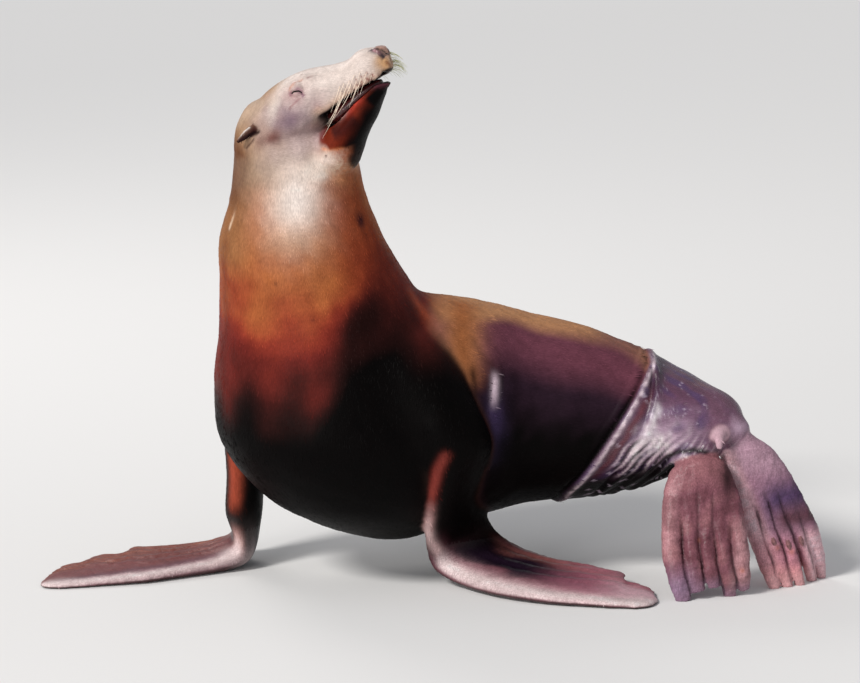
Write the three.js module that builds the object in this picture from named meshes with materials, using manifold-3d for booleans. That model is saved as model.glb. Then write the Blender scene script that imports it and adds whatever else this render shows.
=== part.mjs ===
// A life-size sea lion, sitting up on its four flippers with its head turned back and raised.
//
// Millimetres, +Z up. The animal's rump is towards +X, its breast faces -Y and its nose points to +X and up.
// The flesh is built whole, as smooth bodies swept through named stations, and is then parted with thin cuts.
import * as THREE from "three";
import Module from "manifold-3d";

const wasm = await Module();
wasm.setup();

// ---- Driving dimensions ----
const GAP = 0.35; // between two parts that touch
const FLOOR = 0; // the level that the flippers rest on
const HEAD_TURN = -20; // the nose's heading, in degrees from +X
const HEAD_TILT = 32.3; // the nose's rise above level
const EAR_AXIS = [-276, 88, 749]; // the middle of the head, between the ears
const EYE_RADIUS = 17;
const MOUTH_CORNER = 104; // how far the mouth's corner is in front of the ears
const HEAD_CUT = [-217, 85, 690]; // where the head is parted from the neck
const NECK_CUT = [-190, 95, 472];
const CHEST_CUT = [75, 155, 262];
const LOIN_CUT = [285, 135, 258];
const RIGHT_WRIST = [-306, 170, 62];
const LEFT_WRIST = [45, 60, 70];

const deg = THREE.MathUtils.degToRad;
const vec = (p) => new THREE.Vector3(...p);

// ---- Solids ----

// A smooth curve through rows of three numbers.
function spline(rows) {
  return new THREE.CatmullRomCurve3(rows.map(vec), false, "catmullrom", 0.5);
}

// A closed solid through rings of points, each end closed at its ring's middle.
function solidOfRings(rings) {
  const around = rings[0].length;
  const points = rings.flat();
  const faces = [];
  for (let i = 0; i + 1 < rings.length; i++) {
    for (let j = 0; j < around; j++) {
      const a = i * around + j;
      const b = i * around + ((j + 1) % around);
      faces.push([a, b, b + around], [a, b + around, a + around]);
    }
  }
  const close = (first, flip) => {
    const middle = new THREE.Vector3();
    for (let j = 0; j < around; j++) middle.addScaledVector(points[first + j], 1 / around);
    const hub = points.push(middle) - 1;
    for (let j = 0; j < around; j++) {
      const a = first + j;
      const b = first + ((j + 1) % around);
      faces.push(flip ? [hub, b, a] : [hub, a, b]);
    }
  };
  close(0, true);
  close((rings.length - 1) * around, false);
  const mesh = new wasm.Mesh({
    numProp: 3,
    vertProperties: new Float32Array(points.flatMap((p) => p.toArray())),
    triVerts: new Uint32Array(faces.flat()),
  });
  const made = new wasm.Manifold(mesh);
  if (made.volume() > 0) return made;
  mesh.triVerts = new Uint32Array(faces.flatMap(([a, b, c]) => [a, c, b]));
  return new wasm.Manifold(mesh);
}

// One oval ring: half sizes `wide` to both sides, `high` above and `low` below its centre.
function oval(centre, side, up, [wide, high, low], around) {
  return Array.from({ length: around }, (_, j) => {
    const turn = (j / around) * 2 * Math.PI;
    const rise = Math.sin(turn);
    return centre
      .clone()
      .addScaledVector(side, wide * Math.cos(turn))
      .addScaledVector(up, rise * (rise > 0 ? high : low));
  });
}

// A body of flesh: ovals that stand across the way the spine runs. Each station holds its
// place, its half sizes [wide, high, low] and the spine's aim there, [turn, tilt] in degrees.
function fleshOf(stations, steps, around, grow = 0) {
  const place = spline(stations.map((s) => s.place));
  const size = spline(stations.map((s) => s.size));
  const aim = spline(stations.map((s) => [...s.aim, 0]));
  const rings = [];
  for (let i = 0; i <= steps; i++) {
    const t = i / steps;
    const { x: turn, y: tilt } = aim.getPoint(t);
    const side = new THREE.Vector3(-Math.sin(deg(turn)), Math.cos(deg(turn)), 0);
    const level = new THREE.Vector3(Math.cos(deg(turn)), Math.sin(deg(turn)), 0);
    const up = level.multiplyScalar(-Math.sin(deg(tilt)));
    up.z = Math.cos(deg(tilt));
    const half = size.getPoint(t).toArray().map((n) => Math.max(n, 0.5) + grow);
    rings.push(oval(place.getPoint(t), side, up, half, around));
  }
  return solidOfRings(rings);
}

// A digit or limb: flattened ovals along a path. `face` turns from the way the flat side looks
// at the root to the way it looks at the tip. Sizes are [half width, half thickness].
function limbOf({ path, sizes, face }, steps, around, grow = 0) {
  const line = spline(path);
  const size = spline(sizes.map((s) => [...s, 0]));
  const looks = spline(face);
  const rings = [];
  for (let i = 0; i <= steps; i++) {
    const t = i / steps;
    const along = line.getTangent(t);
    const side = along.clone().cross(looks.getPoint(t)).normalize();
    const up = side.clone().cross(along).normalize();
    const { x: wide, y: thick } = size.getPoint(t);
    rings.push(oval(line.getPoint(t), side, up, [wide + grow, thick + grow, thick + grow], around));
  }
  return solidOfRings(rings);
}

const join = (solids) => solids.reduce((all, s) => all.add(s));
const largest = (solid) =>
  solid.decompose().reduce((best, s) => (s.volume() > best.volume() ? s : best));

// Parts a solid at a plane through `at`: [the side that `normal` points to, the other side].
function partAt(solid, at, normal) {
  const n = vec(normal).normalize();
  const offset = n.dot(vec(at));
  return [
    largest(solid.trimByPlane(n.toArray(), offset + GAP / 2)),
    largest(solid.trimByPlane(n.clone().negate().toArray(), GAP / 2 - offset)),
  ];
}

const aboveFloor = (solid) => largest(solid.trimByPlane([0, 0, 1], FLOOR));

// ---- Trunk and neck ----

const TRUNK = [
  { at: "rump end", place: [480, 24, 266], size: [14, 12, 12], aim: [128, -4] },
  { at: "tail root", place: [456, 42, 268], size: [56, 42, 46], aim: [132, -4] },
  { at: "pelvis", place: [412, 70, 263], size: [84, 66, 78], aim: [140, -3] },
  { at: "thighs", place: [340, 116, 257], size: [118, 102, 114], aim: [150, 0] },
  { at: "loin", place: [251, 150, 258], size: [143, 136, 139], aim: [165, 0] },
  { at: "waist", place: [150, 167, 260], size: [160, 159, 153], aim: [178, 0] },
  { at: "ribs", place: [40, 153, 262], size: [178, 185, 178], aim: [195, 0] },
  { at: "shoulder blades", place: [-70, 115, 264], size: [186, 196, 190], aim: [206, 0] },
  { at: "shoulders", place: [-170, 80, 266], size: [178, 178, 184], aim: [212, 0] },
  { at: "breast", place: [-262, 52, 272], size: [118, 118, 122], aim: [214, 0] },
  { at: "breast tip", place: [-306, 38, 274], size: [30, 30, 30], aim: [214, 0] },
];

// Level slices, from the keel of the breast to the nape: [half size in X, half size in Y].
const NECK = [
  { at: "keel", place: [-58, 85, 62], size: [12, 8] },
  { at: "keel top", place: [-76, 85, 84], size: [84, 66] },
  { at: "lower breast", place: [-116, 85, 140], size: [155, 140] },
  { at: "breast", place: [-139, 90, 231], size: [204, 190] },
  { at: "shoulders", place: [-153, 95, 322], size: [199, 188] },
  { at: "neck base", place: [-167, 95, 415], size: [177, 166] },
  { at: "lower neck", place: [-188, 95, 484], size: [154, 144] },
  { at: "middle neck", place: [-209, 90, 555], size: [133, 122] },
  { at: "upper neck", place: [-214, 88, 624], size: [110, 102] },
  { at: "throat", place: [-219, 88, 690], size: [99, 93] },
  { at: "nape", place: [-226, 84, 722], size: [90, 80] },
  { at: "occiput", place: [-233, 80, 750], size: [74, 62] },
  { at: "back of the head", place: [-241, 78, 775], size: [48, 40] },
  { at: "crown", place: [-246, 76, 790], size: [12, 10] },
];

function neckOf(grow) {
  const place = spline(NECK.map((s) => s.place));
  const size = spline(NECK.map((s) => [...s.size, 0]));
  const steps = 18;
  const east = new THREE.Vector3(1, 0, 0);
  const north = new THREE.Vector3(0, 1, 0);
  const rings = Array.from({ length: steps + 1 }, (_, i) => {
    const { x: wide, y: deep } = size.getPoint(i / steps);
    return oval(place.getPoint(i / steps), east, north, [wide + grow, deep + grow, deep + grow], 24);
  });
  return solidOfRings(rings);
}

// ---- Head ----

// The head's own frame: x along it from the ears to the nose, y to its left and z up.
const headFrame = new THREE.Matrix4()
  .makeTranslation(vec(EAR_AXIS))
  .multiply(new THREE.Matrix4().makeRotationZ(deg(HEAD_TURN)))
  .multiply(new THREE.Matrix4().makeRotationY(deg(-HEAD_TILT)));

const inHead = (solid) => solid.transform(headFrame.toArray());

const SKULL = [
  { at: "nape", place: [-52, 0, -62], size: [44, 54, 40], aim: [0, 0] },
  { at: "occiput", place: [-22, 0, -46], size: [61, 60, 50], aim: [0, 0] },
  { at: "ears", place: [10, 0, -39], size: [68, 63, 50], aim: [0, 0] },
  { at: "cheekbones", place: [45, 0, -32], size: [68, 64, 50], aim: [0, 0] },
  { at: "temples", place: [80, 0, -27], size: [62, 60, 46], aim: [0, 0] },
  { at: "eyes", place: [110, 0, -22], size: [53, 51, 37], aim: [0, 0] },
  { at: "brow", place: [135, 0, -19], size: [45, 40, 34], aim: [0, 0] },
  { at: "bridge", place: [160, 0, -18], size: [40, 30, 33], aim: [0, 0] },
  { at: "muzzle", place: [185, 0, -18], size: [38, 25, 30], aim: [0, 0] },
  { at: "whisker pads", place: [208, 0, -18], size: [37, 28, 28], aim: [0, 0] },
  { at: "nose", place: [227, 0, -19], size: [29, 23, 28], aim: [0, 0] },
  { at: "nose front", place: [240, 0, -22], size: [18, 16, 22], aim: [0, 0] },
  { at: "nose tip", place: [247, 0, -24], size: [4, 4, 4], aim: [0, 0] },
];

const JAW = [
  { at: "jaw angle", place: [68, 0, -104], size: [46, 42, 38], aim: [0, 0] },
  { at: "jaw corner", place: [98, 0, -100], size: [50, 36, 47], aim: [0, 0] },
  { at: "cheek", place: [120, 0, -93], size: [46, 22, 40], aim: [0, 0] },
  { at: "lower lip", place: [138, 0, -87], size: [41, 15, 31], aim: [0, 0] },
  { at: "middle lip", place: [156, 0, -80], size: [36, 12, 26], aim: [0, 0] },
  { at: "chin", place: [176, 0, -73], size: [32, 10, 22], aim: [0, 0] },
  { at: "chin front", place: [194, 0, -67], size: [27, 8, 14], aim: [0, 0] },
  { at: "chin tip", place: [213, 0, -61], size: [19, 5, 7], aim: [0, 0] },
  { at: "front lip", place: [224, 0, -59], size: [6, 2, 3], aim: [0, 0] },
];

const TONGUE = [
  { at: "root", place: [112, 0, -58], size: [20, 9, 9], aim: [0, 0] },
  { at: "back", place: [128, 0, -60], size: [28, 14, 13], aim: [0, 0] },
  { at: "middle", place: [150, 0, -58], size: [28, 14, 12], aim: [0, 0] },
  { at: "blade", place: [176, 0, -53], size: [24, 12, 10], aim: [0, 0] },
  { at: "tip", place: [200, 0, -50], size: [17, 8, 7], aim: [0, 0] },
  { at: "end", place: [214, 0, -50], size: [5, 3, 3], aim: [0, 0] },
];

// ---- Fore flippers ----

// A flipper: rings between a leading and a trailing edge, thickest near the leading one.
function flipperOf(stations, steps, around, grow = 0) {
  const lead = spline(stations.map((s) => s.lead));
  const trail = spline(stations.map((s) => s.trail));
  const looks = spline(stations.map((s) => s.face));
  const thick = spline(stations.map((s) => [s.thick, s.even ?? 0, 0]));
  const rings = [];
  for (let i = 0; i <= steps; i++) {
    const t = i / steps;
    const front = lead.getPoint(t);
    const across = trail.getPoint(t).sub(front);
    const out = across.clone().normalize().multiplyScalar(grow);
    const up = looks.getPoint(t).normalize();
    const { x: half, y: even } = thick.getPoint(t);
    const ring = [];
    for (let j = 0; j < around; j++) {
      const turn = (j / around) * 2 * Math.PI;
      const c = (1 - Math.cos(turn)) / 2;
      const thin = 1 - (0.5 - 0.5 * even) * c;
      const rise = (half * thin + grow) * Math.sin(turn);
      const p = front.clone().addScaledVector(across, c).addScaledVector(out, 2 * c - 1);
      ring.push(p.addScaledVector(up, rise));
    }
    rings.push(ring);
  }
  return solidOfRings(rings);
}

const RIGHT_FLIPPER = [
  { at: "shoulder", lead: [-270, 80, 330], trail: [-262, 215, 330], thick: 46, even: 1, face: [-1, -0.1, 0.1] },
  { at: "elbow", lead: [-298, 104, 235], trail: [-290, 222, 235], thick: 46, even: 1, face: [-1, -0.1, 0.1] },
  { at: "forearm", lead: [-304, 118, 150], trail: [-304, 222, 150], thick: 33, even: 1, face: [-1, 0, 0.1] },
  { at: "low forearm", lead: [-308, 120, 85], trail: [-309, 222, 85], thick: 32, even: 0.9, face: [-1, 0, 0.2] },
  { at: "wrist", lead: [-306, 114, 28], trail: [-318, 228, 40], thick: 26, even: 0.6, face: [-0.7, -0.1, 0.7] },
  { at: "palm", lead: [-340, 98, 13], trail: [-357, 240, 21], thick: 21, even: 0.3, face: [-0.2, 0, 1] },
  { at: "knuckles", lead: [-388, 72, 10], trail: [-405, 246, 13], thick: 17, face: [0, 0, 1] },
  { at: "first web", lead: [-453, 36, 8], trail: [-463, 236, 11], thick: 14, face: [0, 0, 1] },
  { at: "fifth digit", lead: [-485, 26, 7], trail: [-497, 232, 10], thick: 13, face: [0, 0, 1] },
  { at: "notch", lead: [-515, 18, 6.5], trail: [-514, 198, 9], thick: 12, face: [0, 0, 1] },
  { at: "fourth digit", lead: [-545, 10, 5.5], trail: [-553, 192, 9], thick: 10.5, face: [0, 0, 1] },
  { at: "second notch", lead: [-572, 4, 5], trail: [-573, 152, 8], thick: 9.5, face: [0, 0, 1] },
  { at: "second digit", lead: [-600, 0, 4.5], trail: [-604, 122, 7], thick: 8.5, face: [0, 0, 1] },
  { at: "end", lead: [-622, 5, 4], trail: [-624, 62, 5], thick: 7, face: [0, 0, 1] },
  { at: "tip", lead: [-632, 18, 3], trail: [-632, 38, 3], thick: 4, face: [0, 0, 1] },
];

const LEFT_FLIPPER = [
  { at: "shoulder", lead: [-110, -8, 450], trail: [-30, 84, 450], thick: 14, even: 1, face: [0.75, -0.65, 0.2] },
  { at: "upper arm", lead: [-88, -52, 385], trail: [26, 28, 385], thick: 36, even: 1, face: [0.7, -0.7, 0.1] },
  { at: "above elbow", lead: [-56, -66, 315], trail: [58, 0, 315], thick: 46, even: 1, face: [0.7, -0.7, 0.1] },
  { at: "elbow", lead: [-14, -74, 250], trail: [84, -2, 250], thick: 45, even: 1, face: [0.7, -0.7, 0.1] },
  { at: "forearm", lead: [-2, -52, 190], trail: [80, 30, 200], thick: 36, even: 1, face: [0.65, -0.75, 0.1] },
  { at: "middle forearm", lead: [-8, -14, 130], trail: [79, 66, 140], thick: 30, even: 0.9, face: [0.6, -0.7, 0.3] },
  { at: "low forearm", lead: [-12, 12, 84], trail: [88, 88, 100], thick: 27, even: 0.8, face: [0.5, -0.6, 0.5] },
  { at: "wrist", lead: [-2, 24, 35], trail: [106, 100, 70], thick: 26, even: 0.5, face: [0.3, -0.3, 0.9] },
  { at: "palm", lead: [38, 0, 14], trail: [138, 100, 49], thick: 22, even: 0.2, face: [0.1, -0.1, 1] },
  { at: "knuckles", lead: [88, -50, 11], trail: [172, 92, 38], thick: 19, face: [0, 0, 1] },
  { at: "web", lead: [139, -84, 10], trail: [207, 76, 31], thick: 17, face: [0, 0, 1] },
  { at: "middle", lead: [190, -104, 8], trail: [242, 68, 26], thick: 15, face: [0, 0, 1] },
  { at: "fifth digit", lead: [240, -114, 7], trail: [279, 58, 21], thick: 13, face: [0, 0, 1] },
  { at: "fourth digit", lead: [280, -122, 6], trail: [310, 42, 16], thick: 11, face: [0, 0, 1] },
  { at: "notch", lead: [300, -124, 5.5], trail: [309, 18, 11], thick: 10, face: [0, 0, 1] },
  { at: "second digit", lead: [324, -124, 5], trail: [334, 6, 9], thick: 9, face: [0, 0, 1] },
  { at: "end", lead: [345, -112, 4], trail: [351, -22, 6], thick: 7, face: [0, 0, 1] },
  { at: "tip", lead: [356, -84, 3], trail: [357, -54, 3], thick: 4, face: [0, 0, 1] },
];

// ---- Hind flippers ----

const LEFT_DORSUM = [0, -0.94, 0.35];
const RIGHT_DORSUM = [0, -1, 0.1];

const LEFT_SOLE = [
  { at: "heel", lead: [412, 14, 222], trail: [446, 14, 222], thick: 10 },
  { at: "heel pad", lead: [396, 9, 211], trail: [464, 9, 211], thick: 22 },
  { at: "instep", lead: [375, 3, 192], trail: [474, 3, 196], thick: 25 },
  { at: "ball", lead: [363, -14, 150], trail: [492, -14, 150], thick: 19 },
  { at: "first web", lead: [362, -36, 92], trail: [502, -30, 92], thick: 10 },
  { at: "web", lead: [374, -52, 46], trail: [500, -40, 46], thick: 6 },
  { at: "web edge", lead: [392, -58, 26], trail: [492, -40, 30], thick: 3 },
];

const LEFT_TOES = [
  { path: [[384, -12, 155], [379, -38, 84], [390, -60, 30], [399, -66, -3]], sizes: [[18, 17], [18, 16], [17, 13], [14, 8]] },
  { path: [[408, -10, 160], [409, -36, 84], [416, -54, 40], [423, -58, 12]], sizes: [[14, 17], [13, 16], [14, 12], [12, 8]] },
  { path: [[431, -9, 160], [435, -35, 84], [441, -48, 46], [447, -50, 17]], sizes: [[14, 17], [13, 16], [13, 12], [12, 8]] },
  { path: [[454, -10, 155], [461, -34, 84], [468, -42, 34], [473, -34, -3]], sizes: [[14, 17], [13, 16], [14, 12], [12, 7]] },
  { path: [[477, -12, 150], [488, -32, 84], [493, -36, 38], [496, -28, 8]], sizes: [[14, 16], [14, 15], [13, 12], [11, 8]] },
];

const RIGHT_SOLE = [
  { at: "ankle", lead: [457, 42, 232], trail: [498, 42, 254], thick: 16 },
  { at: "heel pad", lead: [457, 42, 214], trail: [532, 42, 234], thick: 24 },
  { at: "instep", lead: [462, 42, 192], trail: [560, 43, 202], thick: 23 },
  { at: "ball", lead: [480, 40, 140], trail: [591, 46, 150], thick: 17 },
  { at: "first web", lead: [500, 32, 90], trail: [614, 56, 92], thick: 10 },
  { at: "web", lead: [521, 24, 45], trail: [627, 66, 45], thick: 6 },
  { at: "web edge", lead: [536, 20, 26], trail: [626, 74, 26], thick: 3 },
];

const RIGHT_TOES = [
  { path: [[491, 38, 165], [511, 29, 100], [531, 19, 44], [549, 12, -3]], sizes: [[13, 15], [14, 14], [13, 12], [11, 7]] },
  { path: [[516, 39, 170], [536, 33, 102], [555, 25, 44], [570, 22, -3]], sizes: [[13, 15], [13, 14], [12, 12], [11, 7]] },
  { path: [[536, 41, 170], [559, 37, 102], [578, 32, 44], [590, 34, -3]], sizes: [[13, 15], [13, 14], [12, 12], [11, 7]] },
  { path: [[555, 43, 170], [581, 46, 102], [600, 52, 44], [611, 60, -3]], sizes: [[13, 15], [13, 14], [12, 12], [11, 7]] },
  { path: [[564, 45, 172], [600, 54, 100], [618, 67, 46], [627, 79, -2]], sizes: [[12, 13], [14, 14], [13, 12], [10, 7]] },
];

const LEFT_ANKLE = { path: [[385, 70, 255], [412, 42, 232], [428, 14, 206]], sizes: [[62, 58], [48, 44], [36, 24]] };
const RIGHT_ANKLE = { path: [[432, 56, 262], [464, 46, 258], [492, 42, 236]], sizes: [[36, 44], [34, 32], [32, 24]] };
const TAIL = { path: [[458, 46, 264], [456, 10, 252], [454, -16, 236]], sizes: [[24, 22], [15, 13], [6, 5]] };
const LOOKS_FORWARD = [[0, -1, 0.1], [0, -1, 0.1]];

function footOf(sole, toes, dorsum, grow = 0) {
  const flat = sole.map((s) => ({ ...s, even: 1, face: dorsum }));
  const digits = toes.map((toe) => limbOf({ ...toe, face: [dorsum, dorsum] }, 5, 6, grow));
  return join([flipperOf(flat, 7, 10, grow), ...digits]);
}

// ---- Small parts ----

const EYE_PLACE = [97, 35, -1]; // in the head's frame, as are the ears and the nose
const EAR = {
  path: [[14, 60, -12], [-2, 67, -15], [-22, 71, -18]],
  sizes: [[7, 5], [7, 4], [3, 2]],
};
const NOSE_PLACE = [237, 0, -13];
const NOSE_SIZE = [11, 18, 13];

// The three middle digits of each hind flipper bear a nail, set back from their tips.
const NAIL_LENGTH = 17;
const LEFT_NAILS = [[413, -32, 58], [440, -28, 62], [467, -24, 58]];
const RIGHT_NAILS = [[543, 18, 82], [567, 22.5, 77], [588, 36, 80]];

function ball(centre, [x, y, z], grow, detail) {
  const solid = new wasm.Manifold(meshOf(new THREE.IcosahedronGeometry(1, detail)));
  return solid.scale([x + grow, y + grow, z + grow]).translate(centre);
}

// A geometry as an indexed mesh with its shared corners welded.
function meshOf(geometry) {
  const at = geometry.getAttribute("position");
  const seen = new Map();
  const corners = [];
  const faces = [];
  for (let i = 0; i < at.count; i++) {
    const corner = [at.getX(i), at.getY(i), at.getZ(i)];
    const key = corner.map((n) => Math.round(n * 1e5)).join();
    if (!seen.has(key)) {
      seen.set(key, seen.size);
      corners.push(...corner);
    }
    faces.push(seen.get(key));
  }
  return new wasm.Mesh({
    numProp: 3,
    vertProperties: new Float32Array(corners),
    triVerts: new Uint32Array(faces),
  });
}

function nailOf([x, y, z], along, dorsum, grow) {
  const from = new THREE.Vector3(x, y, z);
  const to = from.clone().addScaledVector(vec(along).normalize(), NAIL_LENGTH);
  const middle = from.clone().lerp(to, 0.5);
  const path = [from, middle, to].map((p) => p.toArray());
  return limbOf({ path, sizes: [[2.5, 2], [4, 3], [2, 1.5]], face: [dorsum, dorsum] }, 3, 5, grow);
}

// ---- The whole animal ----

const mirrored = (path, side) => path.map(([x, y, z]) => [x, side * y, z]);
const earOf = (side, grow) =>
  inHead(limbOf({ path: mirrored(EAR.path, side), sizes: EAR.sizes, face: [[0, side, 0], [0, side, 0]] }, 5, 8, grow));
const eyeOf = (side, grow) =>
  inHead(ball([EYE_PLACE[0], side * EYE_PLACE[1], EYE_PLACE[2]], Array(3).fill(EYE_RADIUS), grow, 1));
const noseOf = (grow) => inHead(ball(NOSE_PLACE, NOSE_SIZE, grow, 1));

// Everything that stands out of the trunk and neck is cut back to their surface.
const torso = (grow) => fleshOf(TRUNK, 20, 25, grow).add(neckOf(grow));
const ankles = (grow) =>
  limbOf({ ...LEFT_ANKLE, face: LOOKS_FORWARD }, 5, 12, grow).add(
    limbOf({ ...RIGHT_ANKLE, face: LOOKS_FORWARD }, 5, 12, grow),
  );
const torsoRoom = torso(GAP).add(ankles(GAP));

const skull = inHead(fleshOf(SKULL, 17, 18));
const skullRoom = inHead(fleshOf(SKULL, 17, 18, GAP));
const wholeJaw = fleshOf(JAW, 10, 12);
const jawBack = inHead(wholeJaw.trimByPlane([-1, 0, 0], -MOUTH_CORNER));
const jawFront = inHead(wholeJaw.trimByPlane([1, 0, 0], MOUTH_CORNER + GAP));
const jawRoom = inHead(fleshOf(JAW, 10, 12, GAP));

const flesh = join([torso(0), ankles(0), skull, jawBack]);
const [headFlesh, belowHead] = partAt(flesh, HEAD_CUT, [-0.1, 0, 1]);
const [neck, belowNeck] = partAt(belowHead, NECK_CUT, [0, 0, 1]);
const [chest, behindChest] = partAt(belowNeck, CHEST_CUT, [-0.97, -0.25, 0]);
const [abdomen, rump] = partAt(behindChest, LOIN_CUT, [-0.9, 0.44, 0]);

const eyes = { eye_right: -1, eye_left: 1 };
const ears = { ear_right: -1, ear_left: 1 };
const faceRoom = join([
  ...Object.values(eyes).map((side) => eyeOf(side, GAP)),
  ...Object.values(ears).map((side) => earOf(side, GAP)),
  noseOf(GAP),
]);
const head = largest(headFlesh.subtract(faceRoom));

const rightFlipper = largest(aboveFloor(flipperOf(RIGHT_FLIPPER, 24, 12)).subtract(torsoRoom));
const leftFlipper = largest(aboveFloor(flipperOf(LEFT_FLIPPER, 26, 12)).subtract(torsoRoom));
const [armRight, handRight] = partAt(rightFlipper, RIGHT_WRIST, [0.35, 0, 1]);
const [armLeft, handLeft] = partAt(leftFlipper, LEFT_WRIST, [-0.5, 0.2, 1]);

const leftNails = LEFT_NAILS.map((at) => [at, [0.1, -0.3, -1], LEFT_DORSUM.map((n) => -n)]);
const rightNails = RIGHT_NAILS.map((at) => [at, [0.32, 0.02, -1], RIGHT_DORSUM]);
const nailRoom = join([...leftNails, ...rightNails].map((nail) => nailOf(...nail, GAP)));
const footLeft = largest(
  aboveFloor(footOf(LEFT_SOLE, LEFT_TOES, LEFT_DORSUM)).subtract(torsoRoom).subtract(nailRoom),
);
const footRight = largest(
  aboveFloor(footOf(RIGHT_SOLE, RIGHT_TOES, RIGHT_DORSUM)).subtract(torsoRoom).subtract(nailRoom),
);
const feetRoom = join([
  footOf(LEFT_SOLE, LEFT_TOES, LEFT_DORSUM, GAP),
  footOf(RIGHT_SOLE, RIGHT_TOES, RIGHT_DORSUM, GAP),
]);
const tail = largest(
  limbOf({ ...TAIL, face: LOOKS_FORWARD }, 4, 8).subtract(torsoRoom).subtract(feetRoom),
);

// ---- Colours: [colour, roughness] ----

const GOLDEN_FUR = ["#a9733f", 0.55];
const BROWN_FUR = ["#7a4025", 0.5];
const DARK_FUR = ["#4a2f35", 0.45];
const BARE_SKIN = ["#7a4a42", 0.55];
const DARK_SKIN = ["#2a1f24", 0.35];
const TONGUE_RED = ["#5a1f1c", 0.3];
const EYE_DARK = ["#120c0b", 0.1];
const HORN = ["#6d5644", 0.4];

const group = new THREE.Group();

function addPart(name, solid, [color, roughness]) {
  const mesh = solid.getMesh();
  const geometry = new THREE.BufferGeometry();
  geometry.setAttribute("position", new THREE.BufferAttribute(mesh.vertProperties, 3));
  geometry.setIndex(new THREE.BufferAttribute(mesh.triVerts, 1));
  const flat = geometry.toNonIndexed();
  flat.computeVertexNormals();
  const part = new THREE.Mesh(flat, new THREE.MeshStandardMaterial({ color, roughness, metalness: 0 }));
  part.name = name;
  group.add(part);
}

addPart("head", head, GOLDEN_FUR);
addPart("lower_jaw", largest(jawFront.subtract(skullRoom).subtract(torsoRoom)), BROWN_FUR);
addPart("tongue", largest(inHead(fleshOf(TONGUE, 7, 10)).subtract(skullRoom).subtract(jawRoom)), TONGUE_RED);
addPart("nose", noseOf(0), DARK_SKIN);
for (const [name, side] of Object.entries(eyes)) addPart(name, eyeOf(side, 0), EYE_DARK);
for (const [name, side] of Object.entries(ears)) addPart(name, earOf(side, 0), BROWN_FUR);
addPart("neck", neck, GOLDEN_FUR);
addPart("chest", chest, BROWN_FUR);
addPart("abdomen", abdomen, DARK_FUR);
addPart("rump", rump, DARK_FUR);
addPart("tail", tail, DARK_FUR);
addPart("arm_right", armRight, BROWN_FUR);
addPart("hand_right", handRight, BARE_SKIN);
addPart("arm_left", armLeft, BROWN_FUR);
addPart("hand_left", handLeft, BARE_SKIN);
addPart("foot_left", footLeft, BARE_SKIN);
addPart("foot_right", footRight, BARE_SKIN);
leftNails.forEach((nail, i) => addPart(`nail_left_${i + 1}`, nailOf(...nail, 0), HORN));
rightNails.forEach((nail, i) => addPart(`nail_right_${i + 1}`, nailOf(...nail, 0), HORN));

// The origin is on the floor, under the middle of the whole.
const middle = new THREE.Box3().setFromObject(group).getCenter(new THREE.Vector3());
for (const part of group.children) part.geometry.translate(-middle.x, -middle.y, 0);

export default group;
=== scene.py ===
"""Life-size sea lion: one wet, short-furred skin with eyes, nails, tongue and whiskers."""
import math

import bpy
import numpy as np
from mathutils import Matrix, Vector
from mathutils.kdtree import KDTree


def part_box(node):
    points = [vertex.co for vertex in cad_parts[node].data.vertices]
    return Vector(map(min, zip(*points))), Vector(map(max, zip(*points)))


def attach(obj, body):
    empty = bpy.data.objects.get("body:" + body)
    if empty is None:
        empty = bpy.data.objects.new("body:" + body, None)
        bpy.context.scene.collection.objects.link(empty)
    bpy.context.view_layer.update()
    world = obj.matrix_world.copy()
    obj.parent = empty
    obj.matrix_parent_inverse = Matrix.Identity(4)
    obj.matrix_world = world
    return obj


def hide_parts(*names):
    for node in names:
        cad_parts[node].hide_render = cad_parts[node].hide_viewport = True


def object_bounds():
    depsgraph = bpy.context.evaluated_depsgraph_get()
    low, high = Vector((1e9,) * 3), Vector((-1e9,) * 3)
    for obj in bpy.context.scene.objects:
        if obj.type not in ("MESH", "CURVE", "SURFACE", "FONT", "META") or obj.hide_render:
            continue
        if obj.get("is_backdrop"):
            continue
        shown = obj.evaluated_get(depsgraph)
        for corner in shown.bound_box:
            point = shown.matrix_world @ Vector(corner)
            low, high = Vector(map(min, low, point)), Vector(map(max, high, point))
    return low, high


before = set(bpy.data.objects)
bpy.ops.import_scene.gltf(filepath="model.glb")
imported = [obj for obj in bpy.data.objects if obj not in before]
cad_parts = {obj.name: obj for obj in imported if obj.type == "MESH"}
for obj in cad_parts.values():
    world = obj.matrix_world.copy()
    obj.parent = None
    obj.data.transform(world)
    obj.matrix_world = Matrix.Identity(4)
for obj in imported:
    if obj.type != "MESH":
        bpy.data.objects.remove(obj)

CAD_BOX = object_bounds()
MM = 0.001
RNG = np.random.default_rng(7)

# ---- Where things are (millimetres, in the body's own frame) ----

EAR_AXIS = np.array([-276.0, 88.0, 749.0])  # the middle of the head, between the ears
HEAD_TURN = math.radians(-20)
HEAD_TILT = math.radians(32.3)
EYE_PLACE = np.array([97.0, 35.0, -1.0])  # in the head's frame
EYE_RADIUS = 17.0
NOSE_PLACE = np.array([237.0, 0.0, -13.0])
COAT_DEPTH = 1.0  # how far the skin lies inside the frame's flesh

HEAD_WAY = np.array([math.cos(HEAD_TURN), math.sin(HEAD_TURN), math.tan(HEAD_TILT)])
HEAD_X = HEAD_WAY * math.cos(HEAD_TILT)
HEAD_Y = np.array([-math.sin(HEAD_TURN), math.cos(HEAD_TURN), 0.0])
HEAD_AXES = np.stack([HEAD_X, HEAD_Y, np.cross(HEAD_X, HEAD_Y)])


def from_head(p):
    return EAR_AXIS + np.asarray(p, float) @ HEAD_AXES


def to_head(p):
    return (np.asarray(p, float) - EAR_AXIS) @ HEAD_AXES.T


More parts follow.
